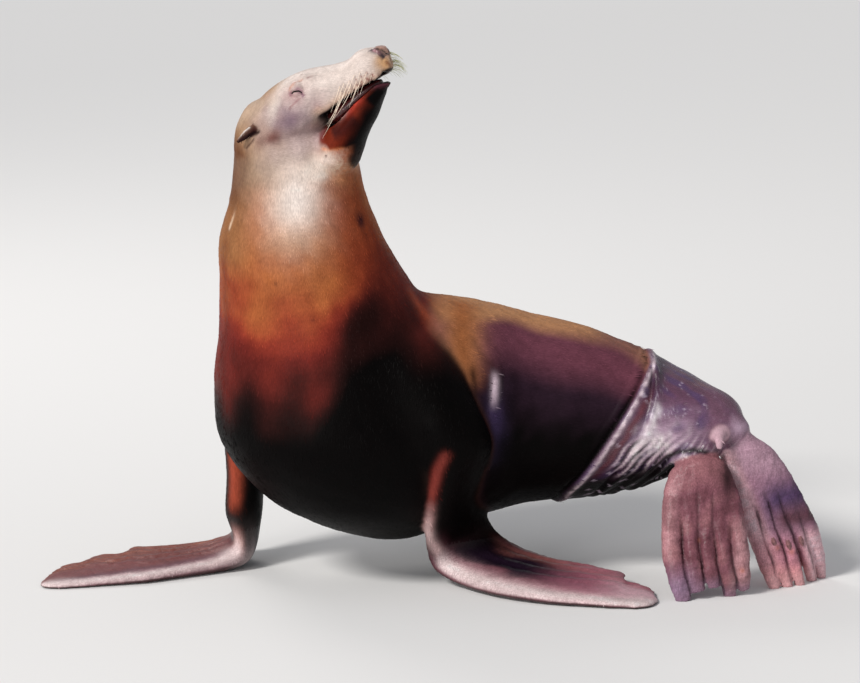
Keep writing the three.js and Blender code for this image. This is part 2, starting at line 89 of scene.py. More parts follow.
# The frame's origin is under the middle of the whole; an eye shows where that is.
low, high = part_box("eye_right")
ORIGIN = (np.array(low) + np.array(high)) / 2 / MM - from_head(EYE_PLACE * [1, -1, 1])
ORIGIN[2] = 0.0


def to_world(p):
    return (np.asarray(p, float) + ORIGIN) * MM


def to_body(p):
    return np.asarray(p, float) / MM - ORIGIN


# ---- Smooth bodies through named stations, as the frame's flesh has them ----


def spline(rows, t):
    """A smooth curve through all of the rows, at each t from 0 to 1."""
    rows = np.asarray(rows, float)
    ends = np.vstack([2 * rows[0] - rows[1], rows, 2 * rows[-1] - rows[-2]])
    s = np.clip(np.asarray(t, float), 0, 1) * (len(rows) - 1)
    i = np.minimum(s.astype(int), len(rows) - 2)
    w = (s - i)[:, None]
    a, b, c, d = ends[i], ends[i + 1], ends[i + 2], ends[i + 3]
    m0, m1 = (c - a) / 2, (d - b) / 2
    return (2 * b - 2 * c + m0 + m1) * w**3 + (-3 * b + 3 * c - 2 * m0 - m1) * w**2 + m0 * w + b


def unit(v):
    return v / np.maximum(np.linalg.norm(v, axis=-1, keepdims=True), 1e-9)


def oval_rings(centre, side, up, wide, high, low, around):
    turn = np.linspace(0, 2 * math.pi, around, endpoint=False)
    rise = np.sin(turn)[None, :]
    half = np.where(rise > 0, high[:, None], low[:, None])
    return (
        centre[:, None]
        + side[:, None] * (wide[:, None] * np.cos(turn))[..., None]
        + up[:, None] * (half * rise)[..., None]
    )


def closed(rings):
    """Rings of points as vertices and faces, with both ends closed at their middles."""
    count, around = rings.shape[:2]
    verts = np.vstack([rings.reshape(-1, 3), rings[0].mean(0), rings[-1].mean(0)])
    faces = []
    for i in range(count - 1):
        for j in range(around):
            a, b = i * around + j, i * around + (j + 1) % around
            faces.append((a, b, b + around, a + around))
    last = (count - 1) * around
    for j in range(around):
        k = (j + 1) % around
        faces.append((k, j, count * around))
        faces.append((last + j, last + k, count * around + 1))
    return verts, faces, count, around


def flesh(stations, steps, around, grow=0.0):
    """A body through stations, whose rings stand across the way that each is aimed."""
    t = np.linspace(0, 1, steps + 1)
    centre = spline([s[0] for s in stations], t)
    size = np.maximum(spline([s[1] for s in stations], t), 0.5) + grow
    aim = np.radians(spline([s[2] for s in stations], t))
    turn, tilt = aim[:, 0], aim[:, 1]
    zero = np.zeros_like(turn)
    side = np.stack([-np.sin(turn), np.cos(turn), zero], 1)
    up = np.stack([-np.sin(tilt) * np.cos(turn), -np.sin(tilt) * np.sin(turn), np.cos(tilt)], 1)
    return closed(oval_rings(centre, side, up, size[:, 0], size[:, 1], size[:, 2], around))


def limb(path, sizes, face, steps, around, grow=0.0):
    """A body along a path; its sizes are across the path and towards the way it faces."""
    t = np.linspace(0, 1, steps + 1)
    line = spline(path, t)
    along = unit(np.gradient(line, axis=0))
    size = spline(sizes, t) + grow
    looks = np.broadcast_to(np.asarray(face, float), line.shape)
    side = unit(np.cross(along, looks))
    up = unit(np.cross(side, along))
    return closed(oval_rings(line, side, up, size[:, 0], size[:, 1], size[:, 1], around))


def flipper(stations, steps, around, grow=0.0):
    """Stations are (leading edge, trailing edge, half thickness, evenness, way the back looks)."""
    t = np.linspace(0, 1, steps + 1)
    lead = spline([s[0] for s in stations], t)
    trail = spline([s[1] for s in stations], t)
    thick = spline([[s[2], s[3]] for s in stations], t)
    up = unit(spline([s[4] for s in stations], t))
    across = trail - lead
    turn = np.linspace(0, 2 * math.pi, around, endpoint=False)
    c = ((1 - np.cos(turn)) / 2)[None, :]
    rise = (thick[:, :1] * (1 - (0.5 - 0.5 * thick[:, 1:]) * c) + grow) * np.sin(turn)[None, :]
    rings = (
        lead[:, None]
        + across[:, None] * c[..., None]
        + unit(across)[:, None] * (grow * (2 * c - 1))[..., None]
        + up[:, None] * rise[..., None]
    )
    return closed(rings)


# (place, half sizes [wide, high, low], aim in degrees [turn, tilt])
TRUNK = [
    ((480, 24, 266), (14, 12, 12), (128, -4)),
    ((456, 42, 268), (56, 42, 46), (132, -4)),
    ((412, 70, 263), (84, 66, 78), (140, -3)),
    ((340, 116, 257), (118, 102, 114), (150, 0)),
    ((251, 150, 258), (143, 136, 139), (165, 0)),
    ((150, 167, 260), (160, 159, 153), (178, 0)),
    ((40, 153, 262), (178, 185, 178), (195, 0)),
    ((-70, 115, 264), (186, 196, 190), (206, 0)),
    ((-170, 80, 266), (178, 178, 184), (212, 0)),
    ((-262, 52, 272), (118, 118, 122), (214, 0)),
    ((-306, 38, 274), (30, 30, 30), (214, 0)),
]

# Level slices: (place, half size in X, half size in Y)
NECK = [
    ((-58, 85, 62), (12, 8)),
    ((-76, 85, 84), (84, 66)),
    ((-116, 85, 140), (155, 140)),
    ((-139, 90, 231), (204, 190)),
    ((-153, 95, 322), (199, 188)),
    ((-167, 95, 415), (177, 166)),
    ((-188, 95, 484), (154, 144)),
    ((-209, 90, 555), (133, 122)),
    ((-214, 88, 624), (110, 102)),
    ((-219, 88, 690), (99, 93)),
    ((-226, 84, 722), (90, 80)),
    ((-233, 80, 750), (74, 62)),
    ((-241, 78, 775), (48, 40)),
    ((-246, 76, 790), (12, 10)),
]

LEVEL = (0, 0)


def level(rows):
    """Stations in the head's frame, none of them aimed aside or up."""
    return [(*row, LEVEL) for row in rows]


SKULL = level([
    ((-52, 0, -62), (44, 54, 40)),
    ((-22, 0, -46), (61, 60, 50)),
    ((10, 0, -39), (68, 63, 50)),
    ((45, 0, -32), (68, 64, 50)),
    ((80, 0, -27), (62, 60, 46)),
    ((110, 0, -22), (53, 51, 37)),
    ((135, 0, -19), (45, 40, 34)),
    ((160, 0, -18), (40, 30, 33)),
    ((185, 0, -18), (38, 25, 30)),
    ((208, 0, -18), (37, 28, 28)),
    ((227, 0, -19), (29, 23, 28)),
    ((240, 0, -22), (18, 16, 22)),
    ((247, 0, -24), (4, 4, 4)),
])

JAW = level([
    ((68, 0, -104), (46, 42, 38)),
    ((98, 0, -100), (50, 36, 47)),
    ((120, 0, -93), (46, 22, 40)),
    ((138, 0, -87), (41, 15, 31)),
    ((156, 0, -80), (36, 12, 26)),
    ((176, 0, -73), (32, 10, 22)),
    ((194, 0, -67), (27, 8, 14)),
    ((213, 0, -61), (19, 5, 7)),
    ((224, 0, -59), (6, 2, 3)),
])

TONGUE = level([
    ((112, 0, -58), (20, 9, 9)),
    ((128, 0, -60), (28, 14, 13)),
    ((150, 0, -58), (28, 14, 12)),
    ((176, 0, -53), (24, 12, 10)),
    ((200, 0, -50), (17, 8, 7)),
    ((214, 0, -50), (5, 3, 3)),
])

EAR_PATH = [(14, 60, -12), (-2, 67, -15), (-22, 71, -18)]
EAR_SIZES = [(7, 5), (7, 4), (3, 2)]

UP = (0, 0, 1)
RIGHT_FLIPPER = [
    ((-270, 80, 330), (-262, 215, 330), 46, 1, (-1, -0.1, 0.1)),
    ((-298, 104, 235), (-290, 222, 235), 46, 1, (-1, -0.1, 0.1)),
    ((-304, 118, 150), (-304, 222, 150), 33, 1, (-1, 0, 0.1)),
    ((-308, 120, 85), (-309, 222, 85), 32, 0.9, (-1, 0, 0.2)),
    ((-306, 114, 28), (-318, 228, 40), 26, 0.6, (-0.7, -0.1, 0.7)),
    ((-340, 98, 13), (-357, 240, 21), 21, 0.3, (-0.2, 0, 1)),
    ((-388, 72, 10), (-405, 246, 13), 17, 0, UP),
    ((-453, 36, 8), (-463, 236, 11), 14, 0, UP),
    ((-485, 26, 7), (-497, 232, 10), 13, 0, UP),
    ((-515, 18, 6.5), (-514, 198, 9), 12, 0, UP),
    ((-545, 10, 5.5), (-553, 192, 9), 10.5, 0, UP),
    ((-572, 4, 5), (-573, 152, 8), 9.5, 0, UP),
    ((-600, 0, 4.5), (-604, 122, 7), 8.5, 0, UP),
    ((-622, 5, 4), (-624, 62, 5), 7, 0, UP),
    ((-632, 18, 3), (-632, 38, 3), 4, 0, UP),
]

LEFT_FLIPPER = [
    ((-110, -8, 450), (-30, 84, 450), 14, 1, (0.75, -0.65, 0.2)),
    ((-88, -52, 385), (26, 28, 385), 36, 1, (0.7, -0.7, 0.1)),
    ((-56, -66, 315), (58, 0, 315), 46, 1, (0.7, -0.7, 0.1)),
    ((-14, -74, 250), (84, -2, 250), 45, 1, (0.7, -0.7, 0.1)),
    ((-2, -52, 190), (80, 30, 200), 36, 1, (0.65, -0.75, 0.1)),
    ((-8, -14, 130), (79, 66, 140), 30, 0.9, (0.6, -0.7, 0.3)),
    ((-12, 12, 84), (88, 88, 100), 27, 0.8, (0.5, -0.6, 0.5)),
    ((-2, 24, 35), (106, 100, 70), 26, 0.5, (0.3, -0.3, 0.9)),
    ((38, 0, 14), (138, 100, 49), 22, 0.2, (0.1, -0.1, 1)),
    ((88, -50, 11), (172, 92, 38), 19, 0, UP),
    ((139, -84, 10), (207, 76, 31), 17, 0, UP),
    ((190, -104, 8), (242, 68, 26), 15, 0, UP),
    ((240, -114, 7), (279, 58, 21), 13, 0, UP),
    ((280, -122, 6), (310, 42, 16), 11, 0, UP),
    ((300, -124, 5.5), (309, 18, 11), 10, 0, UP),
    ((324, -124, 5), (334, 6, 9), 9, 0, UP),
    ((345, -112, 4), (351, -22, 6), 7, 0, UP),
    ((356, -84, 3), (357, -54, 3), 4, 0, UP),
]

LEFT_DORSUM = (0, -0.94, 0.35)
RIGHT_DORSUM = (0, -1, 0.1)

# (one edge, the other edge, half thickness)
LEFT_SOLE = [
    ((412, 14, 222), (446, 14, 222), 10),
    ((396, 9, 211), (464, 9, 211), 22),
    ((375, 3, 192), (474, 3, 196), 25),
    ((363, -14, 150), (492, -14, 150), 19),
    ((362, -36, 92), (502, -30, 92), 10),
    ((374, -52, 46), (500, -40, 46), 6),
    ((392, -58, 26), (492, -40, 30), 3),
]

# Each toe's middle line from the sole to its tip, and its half sizes there.
LEFT_TOES = [
    (((384, -12, 155), (379, -38, 84), (390, -60, 30), (399, -66, -3)),
     ((18, 17), (18, 16), (17, 13), (14, 8))),
    (((408, -10, 160), (409, -36, 84), (416, -54, 40), (423, -58, 12)),
     ((14, 17), (13, 16), (14, 12), (12, 8))),
    (((431, -9, 160), (435, -35, 84), (441, -48, 46), (447, -50, 17)),
     ((14, 17), (13, 16), (13, 12), (12, 8))),
    (((454, -10, 155), (461, -34, 84), (468, -42, 34), (473, -34, -3)),
     ((14, 17), (13, 16), (14, 12), (12, 7))),
    (((477, -12, 150), (488, -32, 84), (493, -36, 38), (496, -28, 8)),
     ((14, 16), (14, 15), (13, 12), (11, 8))),
]

RIGHT_SOLE = [
    ((457, 42, 232), (498, 42, 254), 16),
    ((457, 42, 214), (532, 42, 234), 24),
    ((462, 42, 192), (560, 43, 202), 23),
    ((480, 40, 140), (591, 46, 150), 17),
    ((500, 32, 90), (614, 56, 92), 10),
    ((521, 24, 45), (627, 66, 45), 6),
    ((536, 20, 26), (626, 74, 26), 3),
]

RIGHT_TOES = [
    (((491, 38, 165), (511, 29, 100), (531, 19, 44), (549, 12, -3)), ((13, 15), (14, 14), (13, 12), (11, 7))),
    (((516, 39, 170), (536, 33, 102), (555, 25, 44), (570, 22, -3)), ((13, 15), (13, 14), (12, 12), (11, 7))),
    (((536, 41, 170), (559, 37, 102), (578, 32, 44), (590, 34, -3)), ((13, 15), (13, 14), (12, 12), (11, 7))),
    (((555, 43, 170), (581, 46, 102), (600, 52, 44), (611, 60, -3)), ((13, 15), (13, 14), (12, 12), (11, 7))),
    (((564, 45, 172), (600, 54, 100), (618, 67, 46), (627, 79, -2)), ((12, 13), (14, 14), (13, 12), (10, 7))),
]

LEFT_ANKLE = (((385, 70, 255), (412, 42, 232), (428, 14, 206)), ((62, 58), (48, 44), (36, 24)))
RIGHT_ANKLE = (((432, 56, 262), (464, 46, 258), (492, 42, 236)), ((36, 44), (34, 32), (32, 24)))
TAIL = (((458, 46, 264), (456, 10, 252), (454, -16, 236)), ((24, 22), (15, 13), (6, 5)))

NAIL_LENGTH = 17.0
LEFT_NAILS = [(413, -32, 58), (440, -28, 62), (467, -24, 58)]
RIGHT_NAILS = [(543, 18, 82), (567, 22.5, 77), (588, 36, 80)]

# ---- The skin's shape ----

FINE = 1.0
VOXEL = 3.6  # millimetres, before the head and hind flippers are refined
HEAD_FINER, HEAD_FROM, HEAD_FULL = 3.0, 620, 720  # times finer, and the heights where that begins
TAIL_FINER, TAIL_FROM, TAIL_FULL = 1.8, 340, 400  # the same along X
EASING_ROUNDS = 90
BLUR_STEP = 0.8  # how far one round of averaging takes a value to its neighbours' mean

(TRUNK_KIND, NECK_KIND, SKULL_KIND, JAW_KIND, NOSE_KIND, EAR_KIND, RIGHT_HAND, LEFT_HAND,
 LEFT_FOOT, RIGHT_FOOT, LEFT_TOE, RIGHT_TOE, ANKLE_KIND, TAIL_KIND) = range(14)


def level_neck(grow):
    t = np.linspace(0, 1, int(150 * FINE))
    place = spline([s[0] for s in NECK], t)
    size = spline([s[1] for s in NECK], t) + grow
    east = np.broadcast_to([1.0, 0.0, 0.0], place.shape)
    north = np.broadcast_to([0.0, 1.0, 0.0], place.shape)
    return closed(oval_rings(place, east, north, size[:, 0], size[:, 1], size[:, 1], int(128 * FINE)))


def nose_pad():
    """An upright pad that bulges forwards, as rings from its back to its front."""
    at, _, height = NOSE_PLACE
    angles = [math.pi * k / 8 for k in range(9)]
    sizes = [max(math.sin(angle), 0.05) for angle in angles]
    return level(
        ((at - 11 * math.cos(angle), 0, height), (19 * size, 15 * size, 15 * size))
        for angle, size in zip(angles, sizes)
    )


def in_head(body):
    """A body that is given in the head's frame, set in its place."""
    return (from_head(body[0]), *body[1:])


def mirrored(path, side):
    return [(x, side * y, z) for x, y, z in path]


def flesh_bodies():
    """Every body of flesh, with its kind."""
    g = -COAT_DEPTH

    def n(k):
        return int(k * FINE)

    yield TRUNK_KIND, flesh(TRUNK, n(170), n(128), g)
    yield NECK_KIND, level_neck(g)
    yield SKULL_KIND, in_head(flesh(SKULL, n(180), n(140), g))
    yield JAW_KIND, in_head(flesh(JAW, n(120), n(100), g))
    yield NOSE_KIND, in_head(flesh(nose_pad(), n(40), n(48)))
    for side in (-1, 1):
        yield EAR_KIND, in_head(limb(mirrored(EAR_PATH, side), EAR_SIZES, (0, side, 0), n(36), n(24)))
    yield RIGHT_HAND, flipper(RIGHT_FLIPPER, n(220), n(80), g)
    yield LEFT_HAND, flipper(LEFT_FLIPPER, n(240), n(80), g)
    for kind, toe, sole, toes, dorsum in (
        (LEFT_FOOT, LEFT_TOE, LEFT_SOLE, LEFT_TOES, LEFT_DORSUM),
        (RIGHT_FOOT, RIGHT_TOE, RIGHT_SOLE, RIGHT_TOES, RIGHT_DORSUM),
    ):
        yield kind, flipper([(*s, 1, dorsum) for s in sole], n(60), n(56), g)
        for path, sizes in toes:
            yield toe, limb(path, sizes, dorsum, n(48), n(28), g)
    for path, sizes in (LEFT_ANKLE, RIGHT_ANKLE):
        yield ANKLE_KIND, limb(path, sizes, (0, -1, 0.1), n(48), n(56), g)
    yield TAIL_KIND, limb(*TAIL, (0, -1, 0.1), n(40), n(28), g)


def ramp(x, a, b):
    """A soft step from 0 at a to 1 at b."""
    t = np.clip((np.asarray(x, float) - a) / (b - a), 0, 1)
    return t * t * (3 - 2 * t)


HEAD_MIDDLE = np.array([-217.0, 85.0])
TAIL_MIDDLE = np.array([0.0, 100.0])
GRID = np.linspace(-800, 1200, 8001)  # every quarter of a millimetre, past both ends
HEAD_DENSITY = 1 + (HEAD_FINER - 1) * ramp(GRID, HEAD_FROM, HEAD_FULL)
TAIL_DENSITY = 1 + (TAIL_FINER - 1) * ramp(GRID, TAIL_FROM, TAIL_FULL)


def stretched(density, start):
    """Where the grid's places come to lie when it is spread by the density, with the start held."""
    s = np.concatenate([[0], np.cumsum((density[1:] + density[:-1]) / 2 * np.diff(GRID))])
    return s - np.interp(start, GRID, s) + start


HEAD_STRETCH = stretched(HEAD_DENSITY, HEAD_FROM)
TAIL_STRETCH = stretched(TAIL_DENSITY, TAIL_FROM)


def warp(p):
    """Magnifies the head and the hind flippers, so that one even remesh is finer there."""
    q = p.copy()
    f = np.interp(p[:, 2], GRID, HEAD_DENSITY)[:, None]
    q[:, :2] = HEAD_MIDDLE + (p[:, :2] - HEAD_MIDDLE) * f
    q[:, 2] = np.interp(p[:, 2], GRID, HEAD_STRETCH)
    tail = (p[:, 0] > TAIL_FROM) & (p[:, 2] < HEAD_FROM)
    g = np.interp(p[tail, 0], GRID, TAIL_DENSITY)[:, None]
    q[tail, 1:] = TAIL_MIDDLE + (p[tail, 1:] - TAIL_MIDDLE) * g
    q[tail, 0] = np.interp(p[tail, 0], GRID, TAIL_STRETCH)
    return q


def unwarp(q):
    """Undoes warp."""
    p = q.copy()
    head = q[:, 2] > HEAD_FROM
    p[head, 2] = np.interp(q[head, 2], HEAD_STRETCH, GRID)
    f = np.interp(p[head, 2], GRID, HEAD_DENSITY)[:, None]
    p[head, :2] = HEAD_MIDDLE + (q[head, :2] - HEAD_MIDDLE) / f
    tail = ~head & (q[:, 0] > TAIL_FROM)
    p[tail, 0] = np.interp(q[tail, 0], TAIL_STRETCH, GRID)
    g = np.interp(p[tail, 0], GRID, TAIL_DENSITY)[:, None]
    p[tail, 1:] = TAIL_MIDDLE + (q[tail, 1:] - TAIL_MIDDLE) / g
    return p


def mesh_of(name, verts, faces):
    mesh = bpy.data.meshes.new(name)
    mesh.from_pydata(np.asarray(verts).tolist(), [], faces)
    mesh.update()
    return mesh


def new_object(name, data):
    obj = bpy.data.objects.new(name, data)
    bpy.context.scene.collection.objects.link(obj)
    return obj


def read(items, what, kind, each=1):
    """One property of all of a mesh's vertices, edges, corners or faces."""
    values = np.empty(len(items) * each, kind)
    items.foreach_get(what, values)
    return values


def coords(mesh):
    return read(mesh.vertices, "co", np.float32, 3).reshape(-1, 3).astype(float)


def set_coords(mesh, p):
    mesh.vertices.foreach_set("co", np.ascontiguousarray(p, np.float32).ravel())
    mesh.update()


def normals(mesh):
    return read(mesh.vertex_normals, "vector", np.float32, 3).reshape(-1, 3).astype(float)


def fused():
    """One closed skin round all the bodies, and where each body's own points lie."""
    verts, faces, marks, start = [], [], [], 0
    for kind, (v, f, count, around) in flesh_bodies():
        t = np.append(np.repeat(np.linspace(0, 1, count), around), [0, 1])
        turn = np.append(np.tile(np.linspace(0, 2 * math.pi, around, endpoint=False), count), [0, 0])
        marks.append(np.stack([np.full(len(v), kind), t, turn], 1))
        verts.append(v)
        faces += [tuple(i + start for i in face) for face in f]
        start += len(v)
    points = np.vstack(verts)
    rough = new_object("rough_skin", mesh_of("rough_skin", warp(points), faces))
    remesh = rough.modifiers.new("fuse", "REMESH")
    remesh.mode = "VOXEL"
    remesh.voxel_size = VOXEL
    view = bpy.context.evaluated_depsgraph_get()
    mesh = bpy.data.meshes.new_from_object(rough.evaluated_get(view))
    bpy.data.objects.remove(rough)
    mesh.name = "skin"
    set_coords(mesh, unwarp(coords(mesh)))
    return mesh, points, np.vstack(marks)


# Where the bodies of flesh run into each other and the crease is to be eased:
# (place, radius, how much)
EASED = [
    ((-232, 75, 735), 75, 1.0),  # nape and jowls into the neck
    ((-190, 40, 700), 60, 1.0),
    ((-160, 45, 672), 55, 1.0),  # throat
    ((-150, 40, 700), 40, 0.9),  # jaw into the throat
    ((-185, 10, 712), 45, 0.9),
    ((-150, 95, 705), 45, 0.9),
    ((-100, -40, 470), 110, 1.0),  # neck into the left shoulder
    ((-60, -60, 400), 90, 1.0),
    ((-60, -75, 320), 70, 1.0),
    ((-50, -80, 250), 60, 0.7),
    ((-90, 140, 440), 150, 1.0),  # neck into the back
    ((-20, 220, 440), 130, 1.0),
    ((-170, 260, 330), 150, 1.0),
    ((-300, 200, 300), 110, 1.0),  # right shoulder
    ((-300, 165, 250), 90, 0.6),
    ((-120, 200, 120), 120, 1.0),  # breast into the belly
    ((-20, 130, 80), 90, 1.0),
    ((460, 45, 255), 60, 0.9),  # rump into the ankles
    ((405, 35, 235), 55, 0.9),
    ((478, 44, 240), 45, 0.8),
    ((494, 42, 256), 50, 1.0),
]


def neighbours(mesh):
    """The two ends of every edge, and how many vertices each vertex is joined to."""
    one, other = read(mesh.edges, "vertices", np.int64, 2).reshape(-1, 2).T
    count = len(mesh.vertices)
    return one, other, (np.bincount(one, minlength=count) + np.bincount(other, minlength=count))[:, None]


def averaged(values, links):
    """Each vertex's mean over the vertices joined to it."""
    one, other, degree = links
    count = len(degree)
    total = [np.bincount(one, col[other], count) + np.bincount(other, col[one], count) for col in values.T]
    return np.stack(total, 1) / degree


def eased(mesh, links):
    """Rounds the skin by repeated averaging: a little everywhere, much at the joins."""
    p = coords(mesh)
    amount = np.full(len(p), 0.05)
    for place, radius, much in EASED:
        d = np.linalg.norm(p - np.array(place, float), axis=1)
        amount = np.maximum(amount, 0.85 * much * (1 - ramp(d, 0.55 * radius, 1.15 * radius)))
    amount = amount[:, None]
    for _ in range(EASING_ROUNDS):
        p += (averaged(p, links) - p) * amount
    p[:, 2] = np.maximum(p[:, 2], 0)
    set_coords(mesh, p)
    return p


skin_mesh, body_points, body_marks = fused()
links = neighbours(skin_mesh)
place = eased(skin_mesh, links)

# Which body each spot of the skin belongs to, how far along it and how far round it.
tree = KDTree(len(body_points))
for index, point in enumerate(body_points.tolist()):
    tree.insert(point, index)
tree.balance()
nearest = np.array([tree.find(point)[1] for point in place.tolist()])
kind = body_marks[nearest, 0].astype(int)
along = body_marks[nearest, 1]
turn = body_marks[nearest, 2]

# ---- Sculpting: what the smooth bodies lack ----

normal = normals(skin_mesh)
in_face = to_head(place)
face_up = normal @ HEAD_AXES[2]  # how far each spot looks up, as the head sees it
side = np.where(in_face[:, 1] < 0, -1.0, 1.0)
mirror = np.stack([np.ones_like(side), side, np.ones_like(side)], 1)
face = in_face * mirror  # both halves alike
a, b, c = face.T  # along the head, out from its middle, and up
x, y, z = place.T
is_head = ramp(z, 640, 680)


def softened(mask, rounds=6):
    """A mask of single spots of the skin with its borders blurred."""
    mask = mask.astype(float)[:, None]
    for _ in range(rounds):
        mask += (averaged(mask, links) - mask) * BLUR_STEP
    return mask[:, 0]


def part(*kinds, blur=12):
    """Where the skin belongs to these bodies, with soft borders."""
    return softened(np.isin(kind, kinds), blur)


is_skull = part(SKULL_KIND)
is_jaw = part(JAW_KIND)
on_skull, on_jaw = is_head * is_skull, is_head * is_jaw
is_trunk = part(TRUNK_KIND, ANKLE_KIND)
is_neck = part(NECK_KIND, blur=30)


def to_line(p, line):
    """Each point's distance from a polyline, and how far along it (0 to 1) it comes closest."""
    line = np.asarray(line, float)
    best = np.full(len(p), 1e9)
    where = np.zeros(len(p))
    lengths = np.linalg.norm(np.diff(line, axis=0), axis=1)
    starts = np.concatenate([[0], np.cumsum(lengths)])
    for a, b, length, start in zip(line[:-1], line[1:], lengths, starts):
        step = (b - a) / length
        s = np.clip((p - a) @ step, 0, length)
        d = np.linalg.norm(p - a - s[:, None] * step, axis=1)
        nearer = d < best
        best[nearer] = d[nearer]
        where[nearer] = ((start + s) / starts[-1])[nearer]
    return best, where


def bell(d, width):
    """1 where d is 0, falling off smoothly to either side."""
    return np.exp(-((d / width) ** 2))


def fade(t, margin=0.2):
    """1 along the middle of a line, and 0 at its ends."""
    return ramp(t, 0, margin) * (1 - ramp(t, 1 - margin, 1))


def ripple(p, wavelength, seed=0):
    """A soft, even unevenness between about -1 and 1."""
    rng = np.random.default_rng(seed)
    total = np.zeros(len(p))
    for _ in range(7):
        way = unit(rng.normal(size=3)) * 2 * math.pi / (wavelength * rng.uniform(0.7, 1.4))
        total += np.sin(p @ way + rng.uniform(0, 6.3))
    return total / 3.2


rise = np.zeros(len(place))  # millimetres outwards
shift = np.zeros_like(place)  # in the head's frame, for both halves alike


def carve(line, width, depth, margin=None):
    """Cuts a groove along a line on the head, or raises a ridge where the depth is below 0."""
    d, t = to_line(face, line)
    ends = 1 if margin is None else fade(t, margin)
    rise[:] -= is_head * bell(d, width) * depth * ends
    return d

# Eyes: lids round the eyeball, all but closed along a slit that bows downwards.
LID_THICKNESS = 1.7
eye_offset = face - EYE_PLACE
eye_distance = np.linalg.norm(eye_offset, axis=1)
eye_way = eye_offset / np.maximum(eye_distance, 1e-6)[:, None]
near_eye = is_head * (eye_distance < 45) * (b > 25)
lid = near_eye * ramp(eye_distance, 25, 19.6) * ramp(eye_way[:, 1], -0.15, 0.3)
shift += eye_way * (lid * np.maximum(EYE_RADIUS + LID_THICKNESS - eye_distance, 0))[:, None]
SLIT = [(88, 2.5), (97, 3.4), (104, 0.5), (108, -4.5), (109.5, -10.5)]
flat_face = face * [1, 0, 1]
slit_distance, slit_along = to_line(flat_face, [(forward, 0, up) for forward, up in SLIT])
slit = near_eye * bell(slit_distance, 1.2) * fade(slit_along, 0.2)
lid_rims = near_eye * bell(slit_distance - 3.6, 1.7) * fade(slit_along, 0.15)
shift -= eye_way * (slit * 3.4)[:, None]
shift += eye_way * (lid_rims * 0.9)[:, None]
# Folds above and below the lids follow the slit at growing distances.
slit_side = c - np.interp(a, *zip(*SLIT))
rise += near_eye * bell(eye_distance - 27, 8) * 1.8
LID_FOLDS = ((8, 1.1, 1), (12.5, 0.9, 1), (17, 0.6, 1), (8, 0.9, -1), (12.5, 0.7, -1))
for reach, depth, above in LID_FOLDS:
    crease = bell(slit_distance - reach, 1.3) * ramp(slit_side * above, -1, 3)
    rise -= near_eye * crease * depth * fade(slit_along, 0.35) * (0.75 + 0.4 * ripple(face, 14, int(reach)))
carve([(110, 56, -12), (117, 52, -19), (122, 50, -27)], 2.0, 0.9)  # the tear line

# Brow: a low ridge over the eye with a short crease in front of it.
carve([(84, 40, 22), (100, 38, 20), (116, 33, 14)], 9, -2.0)
carve([(118, 38, 12), (130, 33, 11), (141, 29, 8)], 1.4, 1.6, 0.3)

# Nose: a bare pad, split by slanting nostrils and a groove down to the lip.
pad = is_head * ramp(np.linalg.norm((face - [242, 0, -12]) / [12, 20, 15], axis=1), 1.15, 0.8)
nostril = carve([(247, 3.5, -19), (246, 8, -12), (240, 13.5, -5)], 2.1, 5.0, 0.15)
rise += is_head * bell(nostril - 4.6, 1.8) * (a > 228)
philtrum = carve([(248, 0, -20), (245, 0, -32), (236, 0, -44)], 1.8, 2.2)
carve([(230, 0, 3), (232, 10, 0), (236, 16, -8), (241, 14, -20), (246, 5, -26)], 1.5, 0.8)

# Whisker pads, and the dents that the rows of whiskers grow from.
pad_middle = np.array([208, 30, -22])
whisker_pad = is_head * bell(np.linalg.norm((face - pad_middle) / [24, 20, 17], axis=1), 1.0)
rise += whisker_pad * (face_up > -0.75) * 3.2


def whisker_roots():
    """Three rows along the pad, each root with how far back it is (0 to 1)."""
    for row, first in enumerate((206, 213, 218)):
        for k in range(5 + row):
            yield 0.19 * k, np.array([first - 10.0 * k, 33.0, -20.0 - 5.5 * row])


whisker_dents = np.zeros(len(place))
for _, root in whisker_roots():
    d = np.linalg.norm((face - root) * [1, 0, 1], axis=1)
    whisker_dents = np.maximum(whisker_dents, on_skull * bell(d, 1.6))
rise -= whisker_dents * 0.7

# Lips: the upper ones hang, the rims of the lower ones stand up, and the mouth is hollow within them.
lip_half = np.interp(a, [94, 120, 160, 205, 232, 245], [50, 46, 39, 35, 26, 8])
lip_side = bell(b / lip_half - 0.84, 0.26) * ramp(c, -12, -34)
lip_side *= ramp(a, 104, 130) * ramp(a, 238, 222)
shift[:, 2] -= on_skull * lip_side * 6.5
under = on_skull * ramp(face_up, -0.25, -0.6) * (a > 96)
palate = under * ramp(b, 0.76 * lip_half, 0.5 * lip_half) * ramp(a, 98, 118) * ramp(a, 236, 222)
shift[:, 2] += palate * 7.5
jaw_half = np.interp(a, [98, 120, 138, 156, 176, 194, 213, 224], [50, 46, 41, 36, 32, 27, 19, 6])
jaw_top = np.interp(a, [100, 120, 138, 157, 180, 205, 224], [-79, -81, -79, -74, -66, -60, -58])
rim_height = np.interp(a, [96, 112, 145, 165, 184, 209, 224], [0, 9, 11, 11, 9, 7, 0])
rim = bell(b / jaw_half - 0.9, 0.24) * ramp(c - jaw_top, -24, 1)
shift[:, 2] += on_jaw * rim * rim_height
over = on_jaw * ramp(face_up, 0.2, 0.5) * (a > 100)
floor_of_mouth = over * ramp(b, 0.8 * jaw_half, 0.5 * jaw_half) * ramp(a, 104, 122)
shift[:, 2] -= floor_of_mouth * ramp(a, 222, 205) * 5.0
UPPER_LIP = [(98, 49, -50), (120, 42, -42), (138, 37, -39), (157, 34, -37), (180, 31, -37), (205, 31, -35),
             (224, 26, -37), (236, 14, -41)]
lip_distance, lip_along = to_line(face, UPPER_LIP)
scallops = 0.5 + 0.5 * np.cos(2 * math.pi * 9.5 * lip_along + 0.8 * ripple(face, 40, 91))
